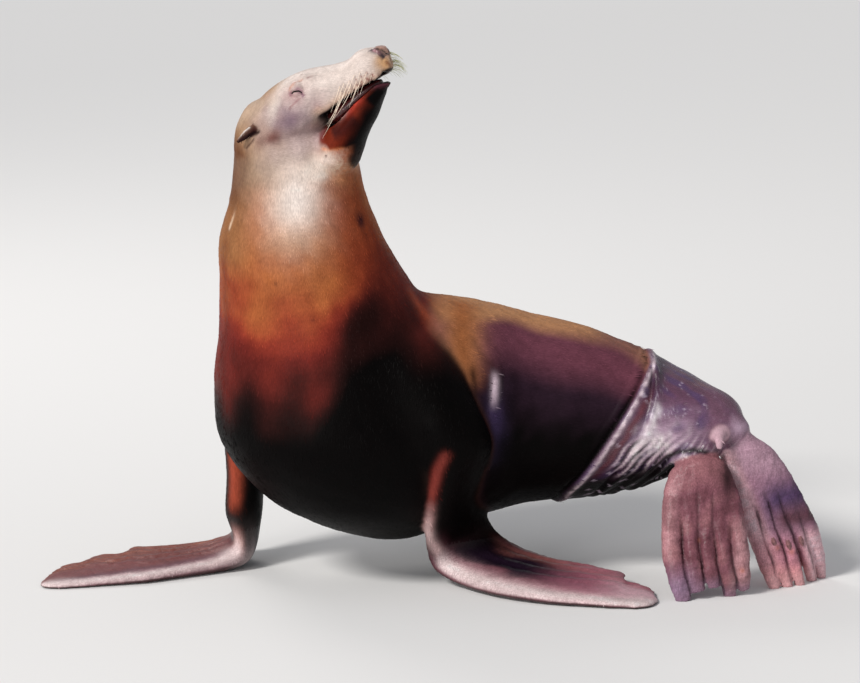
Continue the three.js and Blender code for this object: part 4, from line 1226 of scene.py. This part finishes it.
# The line of a painted highlight down the left arm's front edge, in the seen plane.
EDGE_HIGHLIGHT_LINE = [(-2, 150, 0), (-7, 122, 0), (-9, 98, 0), (-4, 78, 0), (8, 62, 0)]
towards_camera = ramp(ny, 0.2, -0.3)
lit_edge = bell(to_line(seen, LIT_EDGE)[0], 6.5) * towards_camera
edge_highlight = bell(to_line(seen, EDGE_HIGHLIGHT_LINE)[0], 8) * towards_camera * ramp(z, 165, 95)
for hand, wrist in ((RIGHT_HAND, 0.31), (LEFT_HAND, 0.4)):
    own = kind == hand
    arm = softened(own * ramp(along, wrist + 0.06, wrist - 0.06))
    blade = softened(own * ramp(along, wrist - 0.06, wrist + 0.05))
    is_left = hand == LEFT_HAND
    paint(SOOT, arm * (ramp(z, 420, 340) if is_left else ramp(z, 345, 265)))
    if is_left:
        front = softened(own * lit_edge, 3)
        paint(COPPER, arm * front * ramp(z, 270, 200))
    else:
        front = softened(own * bell(chord - 0.12, 0.13) * ramp(np.sin(turn), -0.1, 0.3), 3)
        paint((172, 78, 56), arm * front * ramp(z, 270, 200) * (1 - bell(z - 84, 24)))
    # Painted highlight at the wrist.
    paint((236, 206, 200), arm * front * bell(z - 44, 18) * ramp(nx, 0.1, -0.4) * 0.7)
    paint(BLADE_MAUVE, blade)
    paint(BLADE_BROWN, blade * ramp(frayed, 0.42, 0.75) * top)
    paint((168, 104, 66), blade * top * rays * ramp(chord, 0.3, 0.8) * (0.2 if is_left else 0.55))
    paint((160, 100, 106), blade * top * ramp(frayed, 0.6, 0.85) * 0.6 * is_left)
    wedge_end = wrist + 0.36 - 0.3 * np.abs(chord - 0.5)
    wedge = ramp(frayed, 0.2, 0.34) * ramp(frayed, 0.82, 0.6) * ramp(along, wedge_end, wedge_end - 0.16)
    paint((24, 15, 32), blade * top * wedge * (0.97 if is_left else 0.35))
    pale_width = 0.12 if is_left else 0.07
    paint(BLADE_PINK, blade * bell(chord - pale_width, pale_width) * ramp(along, wrist, wrist + 0.1) * 0.85)
    behind_edge = ramp(chord + 0.03 * mottle, 0.1, 0.24) * ramp(z, 44, 74) * ramp(z, 260, 200)
    dark_back = softened(own * behind_edge)
    paint(SOOT, dark_back * (0.97 if is_left else 0.5))
    if is_left:
        paint((134, 60, 52), softened(own * lit_edge, 2) * ramp(z, 270, 230) * (1 - 0.3 * fine))
        # Painted highlight down the left arm's front edge.
        paint((240, 206, 204), softened(own * edge_highlight, 2) * 0.9)
        paint((206, 130, 152), blade * top * ramp(along, 0.55, 0.7) * 0.5)
        paint((232, 184, 196), blade * top * ramp(along, 0.68, 0.82) * ramp(chord, 0.8, 0.55))
    else:
        paint((156, 84, 74), blade * top * ramp(chord, 0.16, 0.3) * 0.5)
        # Painted highlight at the bend of the right wrist.
        paint(RIM_PALE_AND_HIGHLIGHT, softened(own * bell(chord - 0.1, 0.09) * bell(along - 0.31, 0.05), 3))
    rim_width = (0.08 if is_left else 0.055) + 0.16 * ramp(along, 0.7, 0.95)
    # Pale rim along the leading edge, partly a painted highlight where it faces up.
    paint(RIM_PALE_AND_HIGHLIGHT, blade * bell(chord - 0.06, rim_width) * ramp(nz, -0.15, 0.35))
    # Painted shade on the undersides of the blades.
    paint((60, 22, 26), blade * ramp(nz, -0.1, -0.5) * (1 - dark_back) * 0.9)

# Hind flippers: brown wrinkled sole on the left one, mauve back on the right one.
left = part(LEFT_FOOT, LEFT_TOE, blur=4)
right = part(RIGHT_FOOT, RIGHT_TOE, blur=4)
paint(SOLE_BROWN, left)
paint((206, 152, 158), left * ramp(x, 398, 376) * ramp(z, 40, 80) * 0.8)
paint((206, 156, 162), left * ramp(x - 0.12 * z, 460, 478) * ramp(140 - z, 0, 30) * 0.9)
paint((158, 108, 112), left * np.clip(mottle, 0, 1) * 0.5)
paint((96, 50, 58), left * np.clip(-mottle, 0, 1) * 0.4)
paint((166, 112, 118), left * ramp(z, 170, 205) * 0.7)
paint((160, 134, 164), left * ramp(z, 70, 15) * ramp(x, 440, 395) * 0.85)
paint(BACK_PINK, right)
paint(INDIGO, right * bell(z - 142 - 0.15 * (x - 540), 32) * ramp(x, 505, 550) * 0.9)
paint((92, 52, 62), right * bell(z - 108 - 0.1 * (x - 540), 20) * ramp(x, 535, 565) * 0.85)
paint((206, 172, 188), right * ramp(z, 165, 210) * 0.5)
paint((255, 206, 216), right * ramp(x - 0.42 * (165 - z), 514, 490))
paint((216, 140, 152), right * ramp(z, 100, 55) * 0.6)
paint((250, 172, 172), right * ramp(z, 50, 10) * 0.85)
paint((255, 206, 216), right * ramp(x + 0.25 * z, 602, 620) * ramp(z, 100, 70))
# Painted shade in the creases between the toes.
paint((40, 14, 20), softened(toe_gaps, 1) * 0.95)
# Painted shadow in the gap between the two hind flippers.
paint((34, 14, 18), left * around_spot((468, -12, 186), (13, 44, 36), 0.1, seed=92) * 0.9)
# Painted shade in the knuckle creases.
paint((70, 30, 38), softened(knuckle_creases, 1) * 0.2)
paint((240, 188, 192), softened(ramp(along, 0.72, 0.95) * (kind == RIGHT_TOE), 2) * 0.7)
paint((156, 124, 148), softened(ramp(along, 0.7, 0.95) * (kind == LEFT_TOE), 2) * 0.7)
GRAZES = ((421, -34, 92), (420, -48, 46), (492, -52, 44), (552, 12, 66), (575, 16, 58))
for at in GRAZES:
    paint((214, 126, 84), around_spot(at, (4, 8, 4), seed=90) * 0.55)

tone *= (1 + 0.07 * mottle + 0.05 * ripple(place, 9, 77))[:, None]
DARKEST = 0.0012
tone = np.clip(tone, DARKEST, 0.9)

# How bare the skin is, and how wet: the hips shine most, but not where they face the floor.
hide = np.clip(left + right, 0, 1) + part(RIGHT_HAND, LEFT_HAND, blur=6) * ramp(z, 90, 50)
nose_hide = ramp(pad, 0.25, 0.5)
mouth_lining = palate + floor_of_mouth
bare = np.clip(hide + is_head * nose_hide + mouth_lining, 0, 1)
mouth = is_head * np.clip(nose_hide + mouth_lining + bell(lower_distance, 4), 0, 1)
muzzle = is_head * ramp(a, 30, 80) * ramp(c, -60, -45)
wet_hips = hips * (1 - 0.9 * ramp(nz, -0.3, -0.7))
wet = np.clip(wet_hips + 0.55 * hide + 0.5 * mouth + 0.5 * web + 0.4 * muzzle, 0, 1)

# ---- Materials ----


def attribute(mesh, name, values):
    """A number or a colour for each vertex, which a material reads by its name."""
    if values.ndim == 1:
        layer = mesh.attributes.new(name, "FLOAT", "POINT")
        layer.data.foreach_set("value", np.ascontiguousarray(values, np.float32))
        return
    layer = mesh.attributes.new(name, "FLOAT_COLOR", "POINT")
    rgba = np.ones((len(values), 4), np.float32)
    rgba[:, :3] = values
    layer.data.foreach_set("color", rgba.ravel())


class Nodes:
    """Short-hand for building a material's nodes."""

    def __init__(self, name):
        self.material = bpy.data.materials.new(name)
        self.material.use_nodes = True
        self.tree = self.material.node_tree
        self.shader = self.tree.nodes["Principled BSDF"]

    def add(self, kind, **settings):
        node = self.tree.nodes.new(kind)
        for key, value in settings.items():
            setattr(node, key, value)
        return node

    def feed(self, socket, value):
        if isinstance(value, bpy.types.NodeSocket):
            self.tree.links.new(value, socket)
        else:
            socket.default_value = value

    def math(self, operation, *values):
        node = self.add("ShaderNodeMath", operation=operation)
        for socket, value in zip(node.inputs, values):
            self.feed(socket, value)
        return node.outputs[0]

    def mix(self, factor, one, other, blend="MIX"):
        node = self.add("ShaderNodeMix", data_type="RGBA", blend_type=blend)
        for name, kind, value in (("Factor", "VALUE", factor), ("A", "RGBA", one), ("B", "RGBA", other)):
            socket = next(s for s in node.inputs if s.name == name and s.type == kind)
            if kind == "RGBA" and not isinstance(value, bpy.types.NodeSocket):
                value = (*value, 1.0)
            self.feed(socket, value)
        return next(s for s in node.outputs if s.type == "RGBA")

    def named(self, name, colour=False):
        node = self.add("ShaderNodeAttribute", attribute_name=name)
        return node.outputs["Color" if colour else "Fac"]

    def noise(self, scale, stretch=(1, 1, 1), detail=3.0, turn=(0, 0, 0)):
        """Noise in the object's own space; a small stretch on an axis draws it out along that axis."""
        where = self.add("ShaderNodeTexCoord").outputs["Object"]
        placed = self.add("ShaderNodeMapping")
        placed.inputs["Scale"].default_value = stretch
        placed.inputs["Rotation"].default_value = turn
        self.feed(placed.inputs["Vector"], where)
        noise = self.add("ShaderNodeTexNoise")
        noise.inputs["Scale"].default_value = scale
        noise.inputs["Detail"].default_value = detail
        self.feed(noise.inputs["Vector"], placed.outputs["Vector"])
        return noise.outputs["Fac"]

    def span(self, value, low, high, to_low, to_high):
        node = self.add("ShaderNodeMapRange")
        values = (value, low, high, to_low, to_high)
        for name, v in zip(("Value", "From Min", "From Max", "To Min", "To Max"), values):
            self.feed(node.inputs[name], v)
        return node.outputs["Result"]

    def shade(self, colour, factor, height, low, high, dark):
        """Darkens a colour where a noise is low."""
        grey = self.mix(self.span(height, low, high, 0, 1), dark, (1.0, 1.0, 1.0))
        return self.mix(factor, colour, grey, "MULTIPLY")

    def bump(self, height, distance, strength, under=None):
        node = self.add("ShaderNodeBump")
        node.inputs["Strength"].default_value = strength
        node.inputs["Distance"].default_value = distance
        self.feed(node.inputs["Height"], height)
        if under is not None:
            self.feed(node.inputs["Normal"], under)
        return node.outputs["Normal"]

    def finish(self, colour, roughness, normal=None, specular=0.5):
        if not isinstance(colour, bpy.types.NodeSocket):
            colour = (*colour, 1.0)
        self.feed(self.shader.inputs["Base Color"], colour)
        self.feed(self.shader.inputs["Roughness"], roughness)
        self.shader.inputs["Specular IOR Level"].default_value = specular
        if normal is not None:
            self.feed(self.shader.inputs["Normal"], normal)
        return self.material


def skin_material(name, gloss):
    """Short wet fur and bare wet hide, told apart by the skin's own masks."""
    n = Nodes(name)
    bare_here = n.named("bare")
    wet_here = n.named("wet")
    # Hairs are noise drawn out the way that the coat lies there.
    down = n.math("MULTIPLY", n.noise(900, (1, 1, 0.12)), n.named("lie_down"))
    back = n.math("MULTIPLY", n.noise(900, (0.12, 1, 1)), n.named("lie_back"))
    along_head = n.noise(1100, (0.15, 1, 1), turn=(0, HEAD_TILT, -HEAD_TURN))
    on_face = n.math("MULTIPLY", along_head, n.named("lie_face"))
    hairs = n.math("ADD", n.math("ADD", down, back), on_face)
    grain = n.noise(420, detail=5.0)
    clumps = n.noise(90, (1, 1, 0.5))
    wrinkles = n.noise(230, (1, 1, 1.6), detail=4.0)
    colour = n.shade(n.named("tone", colour=True), 0.5, hairs, 0.3, 0.7, (0.35, 0.33, 0.33))
    colour = n.shade(colour, 0.4, clumps, 0.35, 0.65, (0.72, 0.70, 0.70))
    colour = n.shade(colour, n.math("MULTIPLY", bare_here, 0.4), grain, 0.4, 0.62, (0.45, 0.4, 0.4))
    roughness = n.math("ADD", n.span(wet_here, 0, 1, 0.46, 0.26), n.span(grain, 0.3, 0.7, -0.08, 0.08))
    relief = n.bump(n.math("MULTIPLY", clumps, n.span(wet_here, 0, 1, 1, 2.5)), 0.0010, 0.55)
    relief = n.bump(n.mix(bare_here, hairs, wrinkles), 0.0007, 0.6, under=relief)
    return n.finish(colour, roughness, relief, gloss)


def hair_material(name, scale, factor, low, high, dark, roughness, specular):
    """Hair takes its tone from its own mesh and is darker here and there."""
    n = Nodes(name)
    colour = n.shade(n.named("tone", colour=True), factor, n.noise(scale, detail=2.0), low, high, dark)
    return n.finish(colour, roughness, specular=specular)


def plain_material(name, colour, roughness, spread=0.2, scale=150, relief=0.0003, specular=0.5):
    """One colour, made a little uneven."""
    n = Nodes(name)
    pattern = n.noise(scale, detail=4.0)
    dark = tuple(c * (1 - spread) for c in colour)
    light = tuple(min(c * (1 + spread), 1.0) for c in colour)
    mixed = n.mix(n.span(pattern, 0.35, 0.65, 0, 1), dark, light)
    return n.finish(mixed, roughness, n.bump(pattern, relief, 0.5), specular)


# ---- The skin ----

FLESH = (
    "head", "lower_jaw", "nose", "ear_left", "ear_right", "neck", "chest", "abdomen", "rump", "tail",
    "arm_left", "arm_right", "hand_left", "hand_right", "foot_left", "foot_right",
)


def smooth(mesh):
    mesh.polygons.foreach_set("use_smooth", [True] * len(mesh.polygons))


lie_face = is_head * ramp(a, -20, 20) * ramp(c, -120, -70)
lie_back = (1 - lie_face) * is_trunk * ramp(x, -40, 60)
attribute(skin_mesh, "tone", tone)
attribute(skin_mesh, "bare", bare)
attribute(skin_mesh, "wet", wet)
attribute(skin_mesh, "lie_face", lie_face)
attribute(skin_mesh, "lie_back", lie_back)
attribute(skin_mesh, "lie_down", np.clip(1 - lie_face - lie_back, 0, 1))
set_coords(skin_mesh, to_world(place))
smooth(skin_mesh)
# Three degrees of gloss, as the export keeps only one for each material.
GLOSS = (("damp_fur", 0.04), ("wet_fur", 0.2), ("wet_hide", 0.5))
for name, gloss in GLOSS:
    skin_mesh.materials.append(skin_material(name, gloss))
WET_FROM = (0.33, 0.66)  # how wet a face is where the second and the third of them begin
first_corner = read(skin_mesh.polygons, "loop_start", np.int64)
corner_vertex = read(skin_mesh.loops, "vertex_index", np.int64)
glossy = wet[corner_vertex[first_corner]]
skin_mesh.polygons.foreach_set("material_index", np.digitize(glossy, WET_FROM).astype(np.int32))
skin = new_object("skin", skin_mesh)
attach(skin, "root")
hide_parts(*FLESH)

# ---- Eyes, nails and tongue ----


def put(name, body, material, node):
    """A finer stand-in for a solid of the CAD, in the same place."""
    verts, faces = body[:2]
    mesh = mesh_of(name, to_world(verts), faces)
    smooth(mesh)
    mesh.materials.append(material)
    piece = new_object(name, mesh)
    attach(piece, "root")
    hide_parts(node)


def eyeball(side):
    """Rings of a sphere, from its back to its front."""
    at = EYE_PLACE * [1, side, 1]
    angles = np.linspace(0.02, math.pi - 0.02, 32)
    rings = level((at - [EYE_RADIUS * math.cos(t), 0, 0], (EYE_RADIUS * math.sin(t),) * 3) for t in angles)
    return in_head(flesh(rings, 64, 48))


eye_dark = plain_material("eye_dark", (0.012, 0.008, 0.006), 0.08, 0.3, 300, 0.0)
for name, eye_side in (("eye_right", -1), ("eye_left", 1)):
    put("fine_" + name, eyeball(eye_side), eye_dark, name)

horn = plain_material("horn", tuple(srgb(124, 84, 86)), 0.38, 0.35, 260)
NAIL_SIZES = ((2.5, 2.0), (4.0, 3.0), (2.0, 1.5))
for word, roots, way, dorsum in (
    ("left", LEFT_NAILS, (0.1, -0.3, -1), tuple(-n for n in LEFT_DORSUM)),
    ("right", RIGHT_NAILS, (0.32, 0.02, -1), RIGHT_DORSUM),
):
    step = unit(np.array(way, float)) * NAIL_LENGTH
    for k, root in enumerate(roots):
        path = [tuple(np.array(root) + step * t) for t in (0, 0.5, 1)]
        name = f"nail_{word}_{k + 1}"
        put("fine_" + name, limb(path, NAIL_SIZES, dorsum, 24, 20), horn, name)

tongue_red = plain_material("tongue_red", tuple(srgb(58, 16, 16)), 0.25, 0.4, 180, 0.0006)
TONGUE_SINK = 5  # mm that its underside sinks into the floor of the mouth, to leave no gap
sunk_tongue = [(at, (wide, above, below + TONGUE_SINK), aim) for at, (wide, above, below), aim in TONGUE]
put("fine_tongue", in_head(flesh(sunk_tongue, 70, 48)), tongue_red, "tongue")

# ---- Whiskers and tufts of fur ----

# The ways that fur lies along the back, down the neck and back over the head.
LENGTHWAYS = np.array([1.0, 0.0, -0.25])
DOWNWARDS = np.array([0.1, 0.1, -1.0])
FACEWARDS = -HEAD_AXES[0]
TUFT_LENGTH, TUFT_WIDTH, TUFT_HEIGHT = 10.5, 2.2, 0.32
# The ways, in the head's frame, that whiskers leave their roots, and where the far ones end up.
NEAR_START = np.array([-0.45, 0.6, -0.5])
FAR_START = np.array([0.75, 0.5, -0.15])
FAR_END = np.array([0.1, 0.3, -0.95])
FRONT_WHISKERS = 46
MUZZLE_TIP = ((220, 12, -42), (240, 24, -12))  # two corners of the box that those grow in
WHISKER_CREAM = srgb(248, 230, 210)
WHISKER_GREEN = srgb(206, 208, 160)
CORNERS = 7  # of each tuft

skin_normal = normals(skin_mesh)
rng = np.random.default_rng(7)


def tubes(name, lines, radii, tones, sides=6):
    """Tapered tubes as one mesh, each with its own tone."""
    verts, faces, colours = [], [], []
    for line, radius, colour in zip(lines, radii, tones):
        steps = len(line)
        along_line = unit(np.gradient(line, axis=0))
        across = unit(np.cross(along_line, [0.3, 0.2, 1.0]))
        up = np.cross(across, along_line)
        thick = radius * np.linspace(1, 0.18, steps)[:, None]
        start = len(verts)
        for k in range(sides):
            angle = 2 * math.pi * k / sides
            verts.extend((line + thick * (math.cos(angle) * across + math.sin(angle) * up)).tolist())
        for k in range(sides):
            first, second = start + k * steps, start + (k + 1) % sides * steps
            faces.extend((first + i, second + i, second + i + 1, first + i + 1) for i in range(steps - 1))
        faces.append(tuple(start + k * steps for k in reversed(range(sides))))
        faces.append(tuple(start + k * steps + steps - 1 for k in range(sides)))
        colours.append(np.tile(colour, (steps * sides, 1)))
    mesh = mesh_of(name, to_world(np.array(verts)), faces)
    attribute(mesh, "tone", np.vstack(colours))
    smooth(mesh)
    return mesh


def swept(root, start, end, length, steps=14):
    """A line that leaves its root one way and bends round to another."""
    t = np.linspace(0, 1, steps)[:, None]
    way = unit(start) * (1 - t) ** 1.5 + unit(end) * (1 - (1 - t) ** 1.5)
    return root + np.cumsum(unit(way), axis=0) * length / steps


def whisker_lines():
    """The near side's whiskers are swept back over the mouth, and the far side's flare out in front of it."""
    for face_side in (-1, 1):
        near = face_side < 0
        here = np.flatnonzero((is_head > 0.9) & (side == face_side) & (kind == SKULL_KIND))
        roots = list(whisker_roots())
        if not near:
            roots += [(0.0, rng.uniform(*MUZZLE_TIP)) for _ in range(FRONT_WHISKERS)]
        for far_back, root in roots:
            at = root + rng.normal(0, 0.8, 3) * [1, 0, 1]
            root_index = here[np.argmin(np.linalg.norm(face[here] - at, axis=1))]
            start = NEAR_START if near else FAR_START
            end = np.array([-0.68 - 0.2 * far_back, 0, 0.26 * far_back - 0.72]) if near else FAR_END
            turned = np.array([1, face_side, 1])
            line = swept(
                place[root_index],
                (start + rng.normal(0, 0.08, 3)) * turned @ HEAD_AXES,
                (end + rng.normal(0, 0.10, 3)) * turned @ HEAD_AXES,
                (18 + 42 * far_back if near else 26) * rng.uniform(0.85, 1.2),
            )
            yield line, 0.42 + 0.22 * far_back if near else 0.4, WHISKER_CREAM if near else WHISKER_GREEN


whisker_mesh = tubes("whiskers", *zip(*whisker_lines()))
whisker_mesh.materials.append(hair_material("whisker", 300, 0.4, 0.3, 0.6, (0.7, 0.6, 0.5), 0.35, 0.5))
whiskers = new_object("whiskers", whisker_mesh)
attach(whiskers, "root")


def bake_spot(body, t, round_it):
    """A spot's place on an unwrap of the skin: a cell for each body, split along it and round it.

    Trunk and neck share the lower half, and the other twelve fill three rows of four cells.
    """
    big = body < 2
    u = np.where(big, 0.5 * body, 0.25 * ((body - 2) % 4))
    v = np.where(big, 0.0, 0.5 + 0.16 * ((body - 2) // 4))
    wide = np.where(big, 0.49, 0.24)
    high = np.where(big, 0.49, 0.15)
    return np.stack([u + 0.005 + wide * t * 0.97, v + 0.005 + high * round_it / (2 * math.pi) * 0.96], 1)


def tuft_mesh(name, chosen, length, width, height):
    """Thin pointed tufts that lie along the coat, each a closed solid rooted under the skin."""
    out = skin_normal[chosen]
    flow = (
        lie_face[chosen, None] * FACEWARDS
        + lie_back[chosen, None] * LENGTHWAYS
        + np.clip(1 - lie_face - lie_back, 0, 1)[chosen, None] * DOWNWARDS
    )
    flow = flow + rng.normal(0, 0.16, flow.shape)
    way = unit(flow - (flow * out).sum(1)[:, None] * out)
    across = np.cross(out, way)
    slide = rng.uniform(-1.6, 1.6, (len(chosen), 2))
    root = place[chosen] + way * slide[:, :1] + across * slide[:, 1:]
    length, width, height = (q[:, None] for q in (length, width, height))
    belly, waist = root - out * 1.2 * height, root + way * 0.45 * length
    corners = np.stack([
        belly - across * 0.3 * width,
        belly + across * 0.3 * width,
        belly + out * height,
        waist - across * 0.5 * width - out * 0.5 * height,
        waist + across * 0.5 * width - out * 0.5 * height,
        waist + out * height,
        root + way * length - out * 1.5 * height,
    ], 1)
    sides = ((0, 1, 4, 3), (1, 2, 5, 4), (2, 0, 3, 5), (3, 4, 6), (4, 5, 6), (5, 3, 6), (0, 2, 1))
    faces = [tuple(CORNERS * k + i for i in face) for k in range(len(chosen)) for face in sides]
    mesh = mesh_of(name, np.clip(to_world(corners.reshape(-1, 3)), *CAD_BOX), faces)
    shade = 1 + rng.uniform(-0.13, 0.13, (len(chosen), 1)) * (1 - 0.6 * is_head[chosen, None])
    attribute(mesh, "tone", np.repeat(np.clip(tone[chosen] * shade, DARKEST, 0.92), CORNERS, axis=0))
    spots = np.repeat(bake_spot(kind[chosen], along[chosen], turn[chosen]), CORNERS, axis=0)
    patch = np.array([(-1, -1), (1, -1), (0, -0.4), (-1, 0.3), (1, 0.3), (0, 0.4), (0, 1)]) * 0.0015
    spots += np.tile(patch, (len(chosen), 1))
    layer = mesh.uv_layers.new(name="OFBake")
    corner_index = read(mesh.loops, "vertex_index", np.int64)
    layer.data.foreach_set("uv", spots[corner_index].astype(np.float32).ravel())
    return mesh


def vertex_areas():
    """Roughly how much skin each vertex stands for."""
    area = read(skin_mesh.polygons, "area", float)
    count = read(skin_mesh.polygons, "loop_total", np.int64)
    return np.bincount(corner_vertex, np.repeat(area / count, count), len(place))


TUFTS = 17000
hairless = np.clip(mouth_lining + ramp(pad, 0.2, 0.5) + slit + lid_rims, 0, 1)
slick = np.clip(hips + web + flap, 0, 1)
furred = (1 - 0.75 * bare) * (1 - 0.85 * slick) * (1 - hairless) * (place[:, 2] > 4)
weight = vertex_areas() * furred * (1 + 1.6 * is_head)
picked = rng.choice(len(place), TUFTS, replace=False, p=weight / weight.sum())
scale = (1 - 0.52 * is_head[picked]) * (1 - 0.55 * bare[picked]) * (1 - 0.55 * hips[picked])
material = hair_material("tufts", 700, 0.5, 0.35, 0.65, (0.6, 0.58, 0.58), 0.5, 0.04)
HIND_KINDS = (TRUNK_KIND, ANKLE_KIND, TAIL_KIND, LEFT_FOOT, RIGHT_FOOT, LEFT_TOE, RIGHT_TOE)
behind = np.isin(kind, HIND_KINDS)[picked]
for name, mask in (("coat_fore", ~behind), ("coat_hind", behind)):
    size = scale[mask] * rng.uniform(0.8, 1.25, mask.sum())
    mesh = tuft_mesh(name, picked[mask], TUFT_LENGTH * size, TUFT_WIDTH * size, TUFT_HEIGHT * size)
    mesh.materials.append(material)
    coat = new_object(name, mesh)
    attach(coat, "root")

# ---- Stage, lights and camera ----

VIEW_TARGET = np.array([-4.8, 85.0, 388.5])  # what lies in the middle of the photo
VIEW_RISE = math.radians(12)
VIEW_DISTANCE = 8.0  # metres
PHOTO_WIDTH = 860
MM_PER_PIXEL = 1.6
FLOOR_REACH = 15
SKY_COLOUR = (0.93, 0.95, 1.0, 1.0)
SKY_STRENGTH = 0.36
LIGHTS_AIM = (0, 0, 0.4)
# (name, kind, place, strength, a sun's spread in radians or a disk's width in metres, colour)
LIGHTS = (
    ("key", "SUN", (-3.0, -3.0, 4.0), 2.5, math.radians(14), (1.0, 0.97, 0.93)),
    ("softbox", "AREA", (-2.2, -3.4, 1.1), 42, 1.3, (1.0, 0.97, 0.94)),
    ("rim", "AREA", (-1.6, 2.4, 2.6), 26, 1.6, (1.0, 0.96, 0.92)),
)


def make_floor():
    corners = [(i * FLOOR_REACH, j * FLOOR_REACH, 0) for i, j in ((-1, -1), (1, -1), (1, 1), (-1, 1))]
    mesh = mesh_of("floor", corners, [(0, 1, 2, 3)])
    mesh.materials.append(plain_material("pale_floor", (0.8, 0.8, 0.8), 0.95, 0.0, specular=0.1))
    new_object("floor", mesh)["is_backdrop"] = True


def make_lights():
    world = bpy.data.worlds.new("studio")
    bpy.context.scene.world = world
    world.use_nodes = True
    sky = world.node_tree.nodes["Background"]
    sky.inputs["Color"].default_value = SKY_COLOUR
    sky.inputs["Strength"].default_value = SKY_STRENGTH
    for name, kind, at, strength, spread, colour in LIGHTS:
        data = bpy.data.lights.new(name, kind)
        data.energy = strength
        data.color = colour
        if kind == "SUN":
            data.angle = spread
        else:
            data.shape = "DISK"
            data.size = spread
        lamp = new_object(name, data)
        lamp.location = at
        lamp.rotation_euler = (Vector(LIGHTS_AIM) - Vector(at)).to_track_quat("-Z", "Y").to_euler()


def make_camera():
    data = bpy.data.cameras.new("camera")
    data.sensor_width = 36.0
    data.lens = data.sensor_width * VIEW_DISTANCE / (PHOTO_WIDTH * MM_PER_PIXEL * MM)
    data.clip_end = 100.0
    camera = new_object("camera", data)
    back_off = np.array([0, -math.cos(VIEW_RISE), math.sin(VIEW_RISE)]) * VIEW_DISTANCE
    camera.location = to_world(VIEW_TARGET) + back_off
    camera.rotation_euler = (math.pi / 2 - VIEW_RISE, 0, 0)
    bpy.context.scene.camera = camera


make_floor()
make_lights()
make_camera()
bpy.context.scene.view_settings.view_transform = "Standard"

boxes = {"cad": CAD_BOX, "visual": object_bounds()}
{name: [[float(v) for v in corner] for corner in box] for name, box in boxes.items()}
